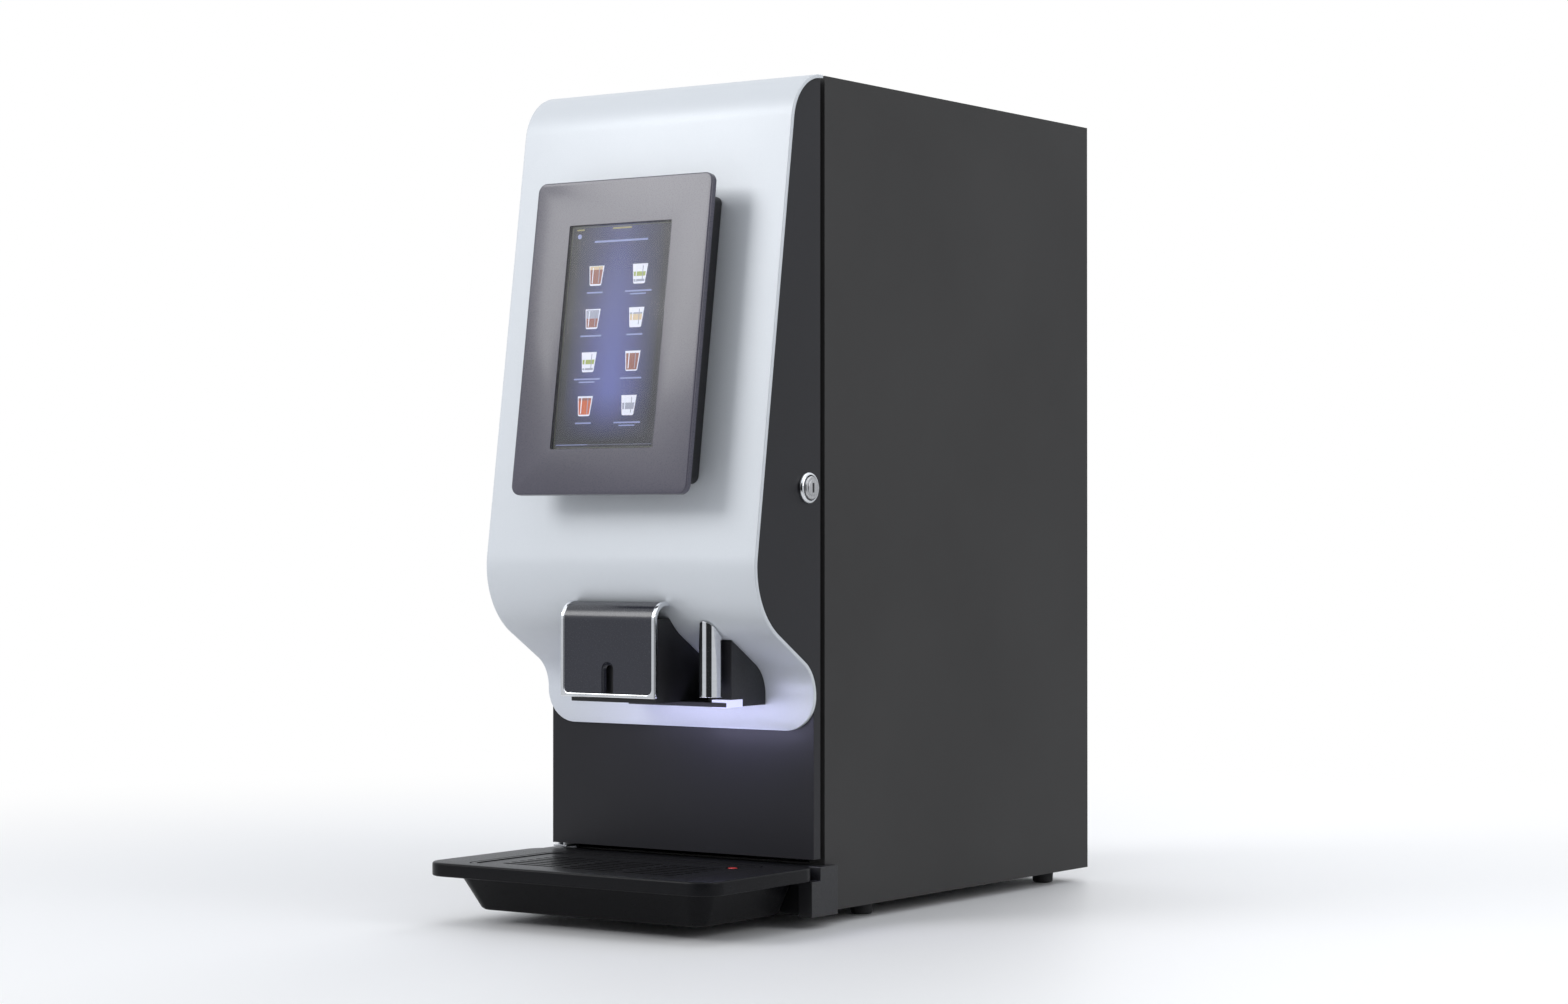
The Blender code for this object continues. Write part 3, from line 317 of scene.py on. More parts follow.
def tube(bm, path, outer, inner, count=20):
    """A pipe along 3-D points, solid if inner is 0."""
    outside, inside = [], []
    side = Vector((1, 0, 0))
    for i, point in enumerate(path):
        along = (path[min(i + 1, len(path) - 1)] - path[max(i - 1, 0)]).normalized()
        side = (side - along * side.dot(along)).normalized()
        up = along.cross(side)
        turns = [side * a + up * b for a, b in circle(0, 0, 1, count)]
        outside.append([point + turn * outer for turn in turns])
        inside.append([point + turn * inner for turn in turns])
    if inner:
        loft(bm, outside + inside[::-1], capped=False)
    else:
        loft(bm, outside)


# ---- Materials ----


class Nodes:
    """Short ways to add and wire the shader nodes of a material or world."""

    def __init__(self, owner):
        owner.use_nodes = True
        self.owner = owner
        self.tree = owner.node_tree
        self.shader = self.tree.nodes.get("Principled BSDF")
        self.place = self.add("TexCoord").outputs["Object"]

    def put(self, socket, value):
        if isinstance(value, bpy.types.NodeSocket):
            self.tree.links.new(value, socket)
        else:
            socket.default_value = value

    def add(self, kind, *values, **named):
        """A node with its inputs set or wired, by order or by name."""
        node = self.tree.nodes.new("ShaderNode" + kind)
        for key, value in (*enumerate(values), *named.items()):
            self.put(node.inputs[key], value)
        return node

    def paint(self, **named):
        """Sets or wires inputs of the main shader, and gives back the material."""
        for key, value in named.items():
            self.put(self.shader.inputs[key.replace("_", " ")], value)
        return self.owner

    def maths(self, operation, *values, kind="Math"):
        node = self.add(kind, *values)
        node.operation = operation
        return node.outputs["Value"]

    def noise(self, scale, detail=2.0, roughness=0.5, place=None):
        place = place or self.place
        node = self.add("TexNoise", Vector=place, Scale=scale, Detail=detail, Roughness=roughness)
        return node.outputs["Fac"]

    def stretched(self, *scale):
        return self.add("Mapping", Vector=self.place, Scale=scale).outputs["Vector"]

    def axis(self, letter, place=None):
        return self.add("SeparateXYZ", place or self.place).outputs[letter]

    def ramp(self, value, low=0.0, high=1.0, from_low=0.35, from_high=0.65, soft=False):
        node = self.add("MapRange", value, from_low, from_high, low, high)
        if soft:
            node.interpolation_type = "SMOOTHSTEP"
        return node.outputs["Result"]

    def blend(self, factor, first, second, mode="MIX"):
        node = self.add("Mix", factor)
        node.data_type = "RGBA"
        node.blend_type = mode
        for socket, value in ((node.inputs[6], first), (node.inputs[7], second)):
            self.put(socket, value if isinstance(value, bpy.types.NodeSocket) else (*value, 1.0))
        return node.outputs[2]

    def bump(self, height, microns):
        return self.add("Bump", Height=height, Distance=microns * MICRON).outputs["Normal"]

    def corners(self, radius):
        """How much the surface turns within this distance: about 0 on flats, more along edges."""
        bevel = self.add("Bevel", Radius=radius)
        bevel.samples = 4
        plain = self.add("NewGeometry").outputs["Normal"]
        facing = self.maths("DOT_PRODUCT", bevel.outputs["Normal"], plain, kind="VectorMath")
        return self.ramp(facing, 1.0, 0.0, 0.80, 0.99)


def new_nodes(name):
    return Nodes(bpy.data.materials.new(name))


def shaded(colour, amount):
    return tuple(min(1.0, channel * amount) for channel in colour)


def surface(
    name, colour, roughness, grain=1500.0, height=20.0, mottle=0.08, spread=0.05, coat=0.0, patch=9.0,
    specular=0.5,
):
    """A surface with slow colour drift and fine grain in bump and roughness; height is in microns."""
    n = new_nodes(name)
    drift = n.ramp(n.noise(patch, 3.0))
    fine = n.noise(grain)
    return n.paint(
        Base_Color=n.blend(drift, shaded(colour, 1 - mottle), shaded(colour, 1 + mottle)),
        Roughness=n.ramp(fine, roughness - spread, roughness + spread),
        Specular_IOR_Level=specular,
        Coat_Weight=coat,
        Coat_Roughness=0.12,
        Normal=n.bump(fine, height),
    )


def silver_lacquer():
    """Satin silver: a pale pearl base with a fine metal flake under a soft clear coat."""
    n = new_nodes("silver_lacquer")
    flake = n.add("TexVoronoi", Vector=n.place, Scale=5200.0).outputs["Distance"]
    sparkle = n.ramp(flake, 0.0, 1.0, 0.1, 0.7)
    base = n.blend(sparkle, (0.57, 0.60, 0.64), (0.66, 0.69, 0.725))
    drift = n.ramp(n.noise(5.0), 0.96, 1.0)
    return n.paint(
        Base_Color=n.blend(1.0, base, drift, "MULTIPLY"),
        Metallic=0.15,
        Roughness=n.ramp(n.noise(900.0), 0.42, 0.50),
        Coat_Weight=0.20,
        Coat_Roughness=0.30,
        Normal=n.bump(n.noise(420.0), 12),
    )


def powder_coat():
    """Fine-texture black powder coat: tight pimples, and a painted highlight along its edges."""
    n = new_nodes("powder_coat")
    pimples = n.noise(1500.0, 3.0, 0.6)
    base = n.blend(n.ramp(n.noise(6.0, 3.0)), (0.022, 0.021, 0.0205), (0.028, 0.027, 0.0265))
    base = n.blend(n.ramp(pimples, 0.0, 0.35, 0.45, 0.75), base, (0.046, 0.045, 0.044))
    # Painted highlight: the coat turns paler grey along its edges, where light would catch them.
    base = n.blend(n.ramp(n.corners(0.9 * MM), 0.0, 0.5, 0.0, 1.0), base, (0.085, 0.085, 0.085))
    return n.paint(
        Base_Color=base,
        Roughness=n.ramp(pimples, 0.50, 0.68),
        Specular_IOR_Level=0.38,
        Normal=n.bump(pimples, 60),
    )


def brushed(name, colour, roughness, direction):
    """Bare metal with short brush lines along x, y or z."""
    n = new_nodes(name)
    scale = [900.0, 900.0, 900.0]
    scale["xyz".index(direction)] = 18.0
    lines = n.noise(1.0, 3.0, 0.6, n.stretched(*scale))
    base = n.blend(n.ramp(lines), shaded(colour, 0.86), shaded(colour, 1.08))
    return n.paint(
        Base_Color=n.blend(n.ramp(n.noise(30.0, 3.0), 0.0, 0.35), base, shaded(colour, 0.72)),
        Metallic=1.0,
        Roughness=n.ramp(lines, roughness - 0.08, roughness + 0.10),
        Normal=n.bump(lines, 10),
    )


def polished(name, colour, roughness=0.05):
    """Plated metal: nearly a mirror, with faint wiping marks."""
    n = new_nodes(name)
    wipe = n.noise(1.0, 3.0, 0.6, n.stretched(60.0, 60.0, 260.0))
    return n.paint(
        Base_Color=n.blend(n.ramp(wipe), shaded(colour, 0.95), colour),
        Metallic=1.0,
        Roughness=n.ramp(wipe, roughness, roughness + 0.06),
        Normal=n.bump(n.noise(90.0), 4),
    )


def milky(name, colour, roughness=0.35):
    """Translucent moulding with light bleeding through its walls."""
    n = new_nodes(name)
    return n.paint(
        Base_Color=n.blend(n.ramp(n.noise(22.0, 3.0)), shaded(colour, 0.93), colour),
        Roughness=n.ramp(n.noise(700.0), roughness - 0.05, roughness + 0.06),
        Subsurface_Weight=0.25,
        Subsurface_Radius=(0.004, 0.004, 0.004),
        Normal=n.bump(n.noise(900.0), 12),
    )


def filled_canister(name, powder, level):
    """Milky walls that show the powder behind them up to an uneven level."""
    n = Nodes(milky(name, CLEAR_WHITE))
    rise = n.maths("MULTIPLY_ADD", n.noise(16.0), 0.030, n.axis("Z"))
    amount = n.ramp(rise, 0.0, 0.62, level + 0.018, level + 0.013)
    walls = n.shader.inputs["Base Color"].links[0].from_socket
    return n.paint(Base_Color=n.blend(amount, walls, powder))


def glowing(name, colour, strength):
    """A lit, slightly uneven face."""
    n = new_nodes(name)
    return n.paint(
        Base_Color=(*shaded(colour, 0.6), 1.0),
        Roughness=0.4,
        Emission_Color=n.blend(n.ramp(n.noise(35.0), 0.92, 1.0), shaded(colour, 0.85), colour),
        Emission_Strength=strength,
    )


def display_picture():
    """The display behind the glass: near black at its edges, blue-violet along its middle."""
    n = new_nodes("display")
    wide, tall = GLASS_W * MM, GLASS_H * MM
    up = n.axis("Y")
    amount = n.ramp(n.maths("ABSOLUTE", n.axis("X")), 1.0, 0.0, 0.004, wide * 0.44)
    for factor in (
        n.ramp(up, 0.45, 1.0, tall * 0.42, -tall * 0.10),
        n.ramp(up, 0.0, 1.0, -tall * 0.47, -tall * 0.25),
        n.ramp(n.noise(26.0), 0.9, 1.0),
    ):
        amount = n.maths("MULTIPLY", amount, factor)
    return n.paint(
        Emission_Color=n.blend(amount, (0.010, 0.011, 0.016), (0.115, 0.135, 0.40)),
        Emission_Strength=1.0,
        Base_Color=(0.01, 0.01, 0.012, 1.0),
        Roughness=0.5,
    )


def display_glass():
    """Thin glass over the display, with a soft, slightly frosted sheen."""
    n = new_nodes("display_glass")
    return n.paint(
        Base_Color=(0.9, 0.9, 0.92, 1.0),
        Transmission_Weight=1.0,
        IOR=1.20,
        Roughness=n.ramp(n.noise(14.0, 3.0), 0.16, 0.26),
        Normal=n.bump(n.noise(60.0), 2),
    )


silver = silver_lacquer()
coat = powder_coat()
moulded = surface("moulded_black", (0.011, 0.011, 0.013), 0.44, 1100.0, 30, spread=0.08)
# The door's own black moulding, made darker than the other black mouldings: the extra darkness is
# painted shade for the door's overhung front recess.
door_black_painted_shade = surface("door_black_painted_shade", (0.0085, 0.0082, 0.0110), 0.40, 1300.0, 10, specular=0.32)
tray_plastic = surface(
    "tray_plastic", (0.0045, 0.0045, 0.0055), 0.34, 1300.0, 12, spread=0.08, specular=0.12
)
bezel_grey = surface("bezel_grey", (0.062, 0.058, 0.082), 0.30, 1600.0, 8, coat=0.30)
cover_grey = surface("cover_grey", (0.017, 0.018, 0.027), 0.24, 1500.0, 6, spread=0.04, coat=0.15)
chrome = polished("chrome", (0.80, 0.81, 0.83))
steel = brushed("bare_steel", (0.55, 0.55, 0.56), 0.32, "z")
sheet_steel = brushed("bare_steel_sheet", (0.52, 0.53, 0.55), 0.36, "x")
brass = brushed("brass", (0.70, 0.52, 0.26), 0.28, "y")
rubber = surface("foot_rubber", (0.018, 0.018, 0.019), 0.78, 900.0, 40)
white_plastic = surface("white_moulding", (0.74, 0.73, 0.70), 0.38, 1200.0, 10, mottle=0.03)
liner_grey = surface("liner_grey", (0.055, 0.056, 0.062), 0.44, 1200.0)
CLEAR_WHITE = (0.70, 0.71, 0.70)
canister_plastic = milky("canister_plastic", CLEAR_WHITE)
canister_fill = {
    "left": filled_canister("canister_coffee", (0.10, 0.045, 0.022), 0.512),
    "middle": filled_canister("canister_milk", (0.62, 0.56, 0.44), 0.490),
    "right": filled_canister("canister_cocoa", (0.20, 0.095, 0.055), 0.530),
}
hose_rubber = milky("hose_silicone", (0.62, 0.60, 0.55), 0.42)
hose_blue = milky("hose_blue", (0.10, 0.22, 0.42), 0.38)
foam_black = surface("foam_black", (0.030, 0.030, 0.032), 0.85, 260.0, 300, spread=0.06)
relay_blue = surface("relay_blue", (0.02, 0.10, 0.42), 0.36, 1200.0, 10, mottle=0.04)
wire_grey = surface("wire_grey", (0.30, 0.30, 0.32), 0.48, 900.0, 10, mottle=0.12, patch=60.0)
red_plastic = surface("float_red", (0.55, 0.035, 0.030), 0.34, 1100.0, 10, mottle=0.05)
board_green = surface("board_green", (0.020, 0.115, 0.055), 0.35, 420.0, 30, mottle=0.12, coat=0.2)
lens_lit = glowing("lens_lit", (0.68, 0.70, 0.96), 0.70)
INKS = {
    "white": ((0.74, 0.76, 0.84), 0.75),
    "shade": ((0.36, 0.38, 0.48), 0.6),
    "brown": ((0.26, 0.095, 0.070), 0.7),
    "cream": ((0.62, 0.50, 0.32), 0.7),
    "green": ((0.34, 0.40, 0.12), 0.7),
    "red": ((0.55, 0.13, 0.05), 0.7),
    "caption": ((0.30, 0.35, 0.60), 0.5),
    "rule": ((0.16, 0.18, 0.26), 0.4),
    "notice": ((0.40, 0.36, 0.14), 0.5),
    "border": ((0.11, 0.115, 0.075), 0.35),
}


# ---- Pieces ----


def add_to_scene(name, data):
    obj = bpy.data.objects.new(name, data)
    bpy.context.collection.objects.link(obj)
    return obj


def new_object(name, bm, material=None, place=None):
    """An object in metres from a bmesh in millimetres."""
    bmesh.ops.scale(bm, vec=(MM, MM, MM), verts=bm.verts)
    mesh = bpy.data.meshes.new(name)
    bm.to_mesh(mesh)
    bm.free()
    mesh.shade_smooth()
    obj = add_to_scene(name, mesh)
    if material:
        mesh.materials.append(material)
    if place:
        obj.matrix_world = place
    return obj


def solid(shapes):
    bm = bmesh.new()
    for shape, *sizes in shapes:
        shape(bm, *sizes)
    return bm


def rounded(obj, width, segments=2):
    """Rounds every clear edge."""
    bevel = obj.modifiers.new("rounding", "BEVEL")
    bevel.width = width * MM
    bevel.segments = segments
    bevel.limit_method = "ANGLE"
    bevel.angle_limit = math.radians(32)
    flat_faces = obj.modifiers.new("flat_faces", "WEIGHTED_NORMAL")
    flat_faces.weight = 100


def cut(obj, holes):
    """Cuts each shape out of the object, for good."""
    for shape in holes:
        cutter = new_object("cutter", solid([shape]), place=obj.matrix_world.copy())
        hole = obj.modifiers.new("hole", "BOOLEAN")
        hole.operation = "DIFFERENCE"
        hole.solver = "EXACT"
        hole.object = cutter
        bpy.context.view_layer.update()
        view = bpy.context.evaluated_depsgraph_get()
        made = bpy.data.meshes.new_from_object(obj.evaluated_get(view))
        obj.modifiers.remove(hole)
        obj.data = made
        bpy.data.objects.remove(cutter, do_unlink=True)


def piece(
    name, material, body, *shapes, holes=(), ease=0, segments=2, smooth=35, place=None, replaces=None,
):
    """One visible piece on a body, from shapes that may overlap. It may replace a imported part."""
    obj = new_object(name, solid(shapes), material, place)
    cut(obj, holes)
    if ease:
        rounded(obj, ease, segments)
    else:
        obj.data.set_sharp_from_angle(angle=math.radians(smooth))
    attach(obj, body)
    if replaces:
        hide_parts(replaces)


def dress(material, ease, *names, segments=2):
    """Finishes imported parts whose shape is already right, and eases their edges."""
    for name in names:
        obj = NODES[name]
        for place in obj.material_slots:
            place.material = material
        obj.data.shade_smooth()
        weld = obj.modifiers.new("weld", "WELD")
        weld.merge_threshold = 0.01 * MM
        flatten = obj.modifiers.new("flatten", "DECIMATE")
        flatten.decimate_type = "DISSOLVE"
        flatten.angle_limit = math.radians(0.5)
        if ease:
            rounded(obj, ease, segments)
        else:
            split = obj.modifiers.new("crease", "EDGE_SPLIT")
            split.split_angle = math.radians(32)


def named(start, ends):
    return [start + end for end in ends]


def dress_packed_parts():
    feet = named("foot_front_", PAIR) + named("foot_rear_", PAIR)
    dress(coat, 0.9, "cabinet_shell", segments=3)
    dress(coat, 0.3, "back_panel", "base_plate")
    dress(door_black_painted_shade, 0.5, "door_shell")
    dress(moulded, 0.5, "tray_bracket", "nozzle_block", "fan_housing", "fan_impeller")
    dress(moulded, 0.4, "mains_inlet", "main_switch_rocker")
    dress(moulded, 0.8, *named("canister_lid_", SIDES))
    dress(red_plastic, 0.4, "tray_float")
    dress(rubber, 0.6, *feet)
    dress(sheet_steel, 0.3, "inner_frame", "hinge_bracket_upper", "hinge_bracket_lower")
    dress(sheet_steel, 0.6, "power_supply")
    dress(steel, 0.25, "boiler", "hot_water_tube", "lock_barrel")
    dress(steel, 0.8, *named("auger_motor_", SIDES), *named("mixer_motor_", PAIR))
    dress(brass, 0.4, "inlet_valve")
    dress(board_green, 0.2, "control_board")
    dress(liner_grey, 0.3, "door_liner")
    dress(lens_lit, 0.4, "cup_light_lens")
    dress(white_plastic, 0.5, *named("canister_outlet_", SIDES), *named("mixer_bowl_", PAIR))
    dress(white_plastic, 0.3, *named("mixer_impeller_", PAIR))
    dress(white_plastic, 0, *named("auger_", SIDES))
    dress(hose_rubber, 0, *named("outlet_hose_", PAIR))
    for side in SIDES:
        dress(canister_fill[side], 0.8, "canister_" + side)


# ---- Fascia ----


def sheet_ring(width, outer, inner, edge):
    """One cross section of the sheet, with its two front edges rounded."""
    inward = (inner - outer).normalized()
    corner = [(width - inset, outer + inward * drop) for inset, drop in round_over(edge, 4)]
    middle = [(-x, at) for x, at in corner] + corner[::-1]
    return [Vector((x, *at)) for x, at in [(-width, inner), *middle, (width, inner)]]


def build_fascia():
    half = (FASCIA[1].x - FASCIA[0].x) / 2
    outer = fascia_path(32)
    inner = moved_aside(outer, SHEET)
    inner[0].x = outer[0].x
    stations = [(half, a, b) for a, b in zip(outer, inner)]
    for inset, rise in round_over(FASCIA_CORNER_R, 20)[1:]:
        z = FASCIA[0].z + rise
        stations.append((half - inset, Vector((outer[-1].x, z)), Vector((inner[-1].x, z))))
    rings = [sheet_ring(*station, 1.1) for station in stations]
    piece("fine_fascia", silver, "door", (loft, rings), smooth=40, replaces="fascia")


# ---- Screen, in a frame leaned onto the fascia: x across, y up the lean, z out ----


def screen_place():
    y = SPLIT_Y - 45.9 - (598 - SCREEN_Z) * math.tan(LEAN)
    across = Vector((1, 0, 0))
    up = Vector((0, math.sin(LEAN), math.cos(LEAN)))
    turn = Matrix((across, up, across.cross(up))).transposed()
    return Matrix.Translation((0, y * MM, SCREEN_Z * MM)) @ turn.to_4x4()


SCREEN_PLACE = screen_place()


def build_bezel():
    edge = 1.3
    half_w, half_h = BEZEL_W / 2, BEZEL_H / 2
    rings = [on_plane(centred_rect(half_w, half_h, BEZEL_R), "z", BEZEL_BACK)]
    for inset, drop in round_over(edge, 4):
        outline = centred_rect(half_w - inset, half_h - inset, BEZEL_R - inset)
        rings.append(on_plane(outline, "z", BEZEL_FRONT - drop))
    gap = 0.35
    window = centred_rect(GLASS_W / 2 + gap, GLASS_H / 2 + gap, 1.2)
    piece(
        "fine_bezel", bezel_grey, "door", (loft, rings),
        holes=[(prism, window, "z", BEZEL_BACK - 5, BEZEL_FRONT + 5)], smooth=30, place=SCREEN_PLACE,
        replaces="screen_bezel",
    )


def build_screen_housing():
    """The body behind the bezel, with a cooling vent along its underside."""
    inset = 12
    half_w, half_h = BEZEL_W / 2 - inset, BEZEL_H / 2 - inset
    rings = [
        on_plane(centred_rect(half_w - shrink, half_h - shrink, 6), "z", z)
        for shrink, z in ((0.8, 0.8), (0, 1.8), (0, BEZEL_BACK - 0.3))
    ]
    slots = [
        (box, x - 3.2, x + 3.2, -half_h - 2, -half_h + 1.5, z, z + 1.6)
        for x in [(i - 6) * 9.5 for i in range(13)]
        for z in (9, 14, 19)
    ]
    piece(
        "fine_screen_housing", moulded, "door", (loft, rings), holes=slots, smooth=30,
        place=SCREEN_PLACE, replaces="screen_housing",
    )


def flat(outline, level):
    """A thin patch on the display, with higher levels over lower ones."""
    return (prism, outline, "z", DISPLAY_Z + LAYER * level, DISPLAY_Z + LAYER * (level + 1))


def tumbler(x, y):
    """A drink sign's outline, which narrows downward and has rounded feet."""
    low, high = y - ICON_HEIGHT / 2, y + ICON_HEIGHT / 2
    foot = 1.4
    left = arc(x - ICON_BOTTOM + foot, low + foot, foot, QUARTER * 2, QUARTER, 4)
    right = arc(x + ICON_BOTTOM - foot, low + foot, foot, QUARTER * 3, QUARTER, 4)
    return [(x + ICON_TOP, high), (x - ICON_TOP, high), *left, *right]


def drink_band(x, y, low_share, high_share):
    """The drink inside a sign's walls between two shares of its height."""
    points = []
    for share, sign in ((low_share, -1), (low_share, 1), (high_share, 1), (high_share, -1)):
        width = ICON_BOTTOM + (ICON_TOP - ICON_BOTTOM) * share - 0.9
        points.append((x + sign * width, y + ICON_HEIGHT * (share - 0.5)))
    return points


def drink_signs(shapes):
    """Eight plain drinks, each with its layers, highlights and caption bars."""
    for i, bands in enumerate(DRINKS):
        x, y = COLUMNS[i % 2], ROWS[i // 2]
        shapes["white"].append(flat(tumbler(x, y), 0))
        for level, (name, low, high) in enumerate(bands):
            shapes[name].append(flat(drink_band(x, y, low, high), level + 1))
        low, high = y - ICON_HEIGHT * 0.38, y + ICON_HEIGHT * 0.40
        shapes["white"].append(flat(rectangle(x - 3.3, x - 2.5, low, high), 4))
        shapes["shade"].append(flat(rectangle(x + 2.8, x + 3.4, low, high), 4))
        half = 7.5 + 2.5 * ((i * 5) % 3)
        shapes["caption"].append(flat(rectangle(x - half, x + half, y - 13.7, y - 12.5), 0))
        if i % 3 == 1:
            short = half * 0.6
            shapes["caption"].append(flat(rectangle(x - short, x + short, y - 15.9, y - 14.9), 0))


def build_screen_picture():
    half_w, half_h = GLASS_W / 2, GLASS_H / 2
    sheet = centred_rect(half_w, half_h, 1)
    for name, material, low, high in (
        ("screen_glass_sheet", display_glass(), BEZEL_FRONT - 1.6, BEZEL_FRONT - 0.5),
        ("screen_panel", display_picture(), BEZEL_BACK + 0.6, DISPLAY_Z),
    ):
        piece(
            name, material, "door", (prism, sheet, "z", low, high), place=SCREEN_PLACE,
            replaces="touch_glass",
        )
    shapes = {name: [] for name in INKS}
    drink_signs(shapes)
    header, footer = 73, -83.6
    shapes["caption"].append(flat(circle(-half_w + 8, half_h - 8, 1.9, 24), 0))
    bars = [
        ("caption", -25.5, 25.5, header, header + 1.5),
        ("notice", -9, 9, half_h - 3.4, half_h - 2.2),
        ("notice", -half_w + 5, -half_w + 12, half_h - 3.4, half_h - 2.4),
        ("rule", -15, half_w - 3, footer, footer + 0.5),
        ("caption", -half_w + 3, -15.2, footer, footer + 0.6),
    ]
    for x in (-half_w + 0.6, half_w - 1.3):
        bars.append(("border", x, x + 0.7, -half_h + 0.7, half_h - 0.7))
    for y in (-half_h + 0.6, half_h - 1.3):
        bars.append(("border", -half_w + 1.5, half_w - 1.5, y, y + 0.7))
    for name, *sizes in bars:
        shapes[name].append(flat(rectangle(*sizes), 0))
    for name, parts in shapes.items():
        lit = glowing("ink_" + name, *INKS[name])
        piece("screen_" + name, lit, "door", *parts, place=SCREEN_PLACE)


# ---- Outlets ----


def before_fascia(front, bottom, top=None):
    """Side outline of what hangs under the belly, from a front plane back to the fascia."""
    path = moved_aside(fascia_path(), -0.4)
    foremost = min(range(len(path)), key=lambda i: path[i].x)
    under = path[foremost:]
    outline = [(front, bottom)]
    if top:
        outline.append((front, top))
    for above, below in zip(under, under[1:]):
        if top and below.y < top <= above.y:
            outline.append(tuple(above.lerp(below, (above.y - top) / (above.y - below.y))))
        if not top and above.x < front <= below.x:
            outline.append(tuple(above.lerp(below, (front - above.x) / (below.x - above.x))))
    outline += [tuple(point) for point in under if (point.y < top if top else point.x > front)]
    return outline + [(under[-1].x, bottom)]


def cover_outline(front, bottom, depth):
    """Side outline of the cover: a flat front that rolls back at the top to meet the belly."""
    radius = SPOUT_BEND_R - (front - SPOUT_FRONT)
    y, z = SPOUT_FRONT + SPOUT_BEND_R, SPOUT_TOP - SPOUT_BEND_R
    outer = arc(y, z, radius, math.pi, -QUARTER, 20)
    inner = arc(y, z, radius - depth, math.pi, -QUARTER, 20)
    ends = [(BELLY_Y, z + radius), (BELLY_Y + 3.2, z + radius - depth)]
    return [(front, bottom), *outer, *ends, *inner[::-1], (front + depth, bottom)]


def build_spout_cover():
    """The cover with its dark domed groove, and the chrome trim round it."""
    groove = [(SPOUT_BOTTOM - 10, GROOVE_R), (GROOVE_TOP - GROOVE_R, GROOVE_R)]
    groove += [(GROOVE_TOP - drop, GROOVE_R - inset) for inset, drop in round_over(GROOVE_R, 8)[1:-1]]
    low = COVER[0].z
    piece(
        "fine_spout_cover", cover_grey, "door",
        (prism, cover_outline(SPOUT_FRONT, low, COVER_DEPTH), "x", -COVER_HALF, COVER_HALF),
        holes=[(turned, "z", (0, SPOUT_FRONT - 2), groove, 40)], ease=0.5, replaces="spout_cover",
    )
    trim = cover_outline(SPOUT_FRONT - 0.6, SPOUT_BOTTOM, COVER_DEPTH + 0.8)
    opening = rounded_rect(-COVER_HALF - 0.1, COVER_HALF + 0.1, low - 0.3, SPOUT_TOP + 60, 4)
    piece(
        "fine_spout_trim", chrome, "door", (prism, trim, "x", -TRIM_HALF, TRIM_HALF),
        holes=[(prism, opening, "y", SPOUT_FRONT - 20, SPOUT_FRONT + 60)], ease=0.9, segments=4,
        replaces="spout_trim",
    )


def build_outlet_housing():
    """The black bodies behind the two outlets, and their base."""
    half = COVER_HALF - 1.2
    hollow = half - 2.5
    wall = SPLIT_Y - 15.6
    low = HOUSING_FLOOR
    gap = 0.3
    side = (prism, before_fascia(SPLIT_Y - 96.5, low, 233.5), "x", -half, half)
    inside = (box, -hollow, hollow, SPLIT_Y - 94, wall - 4, 150, 218)
    fin = (prism, before_fascia(WATER[0].y + 19, low), "x", *WATER_SIDE_X)
    bar = (box, half - 5, WATER_X, wall - 10, wall, low + 0.3, 177.5)
    base = (box, *BASE_X, BASE_FRONT, wall, *BASE_Z)
    notch = (box, LENS[0].x - gap, BASE_X[1] + 10, LENS[0].y - gap, LENS[1].y + gap, 160, 180)
    for name, shapes, holes, ease in (
        ("fine_outlet_housing", [side], [inside], 0.4),
        ("water_outlet_side", [fin, bar], [], 0.35),
        ("outlet_base", [base], [notch], 0.3),
    ):
        piece(name, moulded, "door", *shapes, holes=holes, ease=ease, replaces="outlet_housing")


def water_pipe(bm):
    """A half pipe with short straight legs, cut off along the underside of the belly."""
    leg = WATER[1].y
    outline = []
    for radius, turn in ((WATER_R, 1), (WATER_R - 1.3, -1)):
        bend = arc(WATER_X, WATER_Y, radius, math.pi, math.pi, 40)
        outline += [(WATER_X - radius, leg), *bend, (WATER_X + radius, leg)][::turn]
    prism(bm, outline, "z", WATER[0].z, SPOUT_TOP)
    path = fascia_path()
    above, below = next((a, b) for a, b in zip(path, path[1:]) if a.x < WATER_Y <= b.x)
    point = above.lerp(below, (WATER_Y - above.x) / (below.x - above.x))
    along = (below - above).normalized()
    cuts = bmesh.ops.bisect_plane(
        bm,
        geom=bm.verts[:] + bm.edges[:] + bm.faces[:],
        plane_co=Vector((WATER_X, point.x, point.y - 1)),
        plane_no=Vector((0, -along.y, along.x)),
        clear_outer=True,
    )
    rim = [edge for edge in cuts["geom_cut"] if isinstance(edge, bmesh.types.BMEdge)]
    bmesh.ops.contextual_create(bm, geom=rim)
    bmesh.ops.recalc_face_normals(bm, faces=bm.faces)


def build_water_outlet():
    """The chrome half pipe over the water tube, and steel lips on the drink nozzles."""
    piece("fine_water_cover", chrome, "door", (water_pipe,), ease=0.35, replaces="water_cover")
    low = packed("nozzle_block")[0].z
    lips = [(ring, "z", (x, NOZZLE_Y), 5.6, 3.6, low + 1.5, low + 5.5) for x in (-9, 9)]
    piece("nozzle_collars", steel, "door", *lips, ease=0.3)


def build_lock():
    wall = DOOR[1].x
    profile = (
        (0.3, 12), (1.4, 12), (2.3, 11.6), (3, 10.8), (3.2, 10.2), (3.2, 9.8), (2.7, 9.4),
        (0.3, 9.4),
    )
    levels = [(wall + out, radius) for out, radius in profile]
    piece(
        "fine_lock_ring", chrome, "door", (turned, "x", (LOCK.y, LOCK.z), levels, 64, False), smooth=40,
        replaces="lock_ring",
    )
    face = packed("lock_barrel")[1].x
    keyhole = (box, face - 1, face + 3, LOCK.y - 1.2, LOCK.y + 1.2, LOCK.z - 3.6, LOCK.z + 3.6)
    plug = (soft_disc, "x", (LOCK.y, LOCK.z), face - 0.7, face + 0.5, 6.2, 0.4)
    piece("lock_plug_face", steel, "lock", plug, holes=[keyhole], smooth=30)


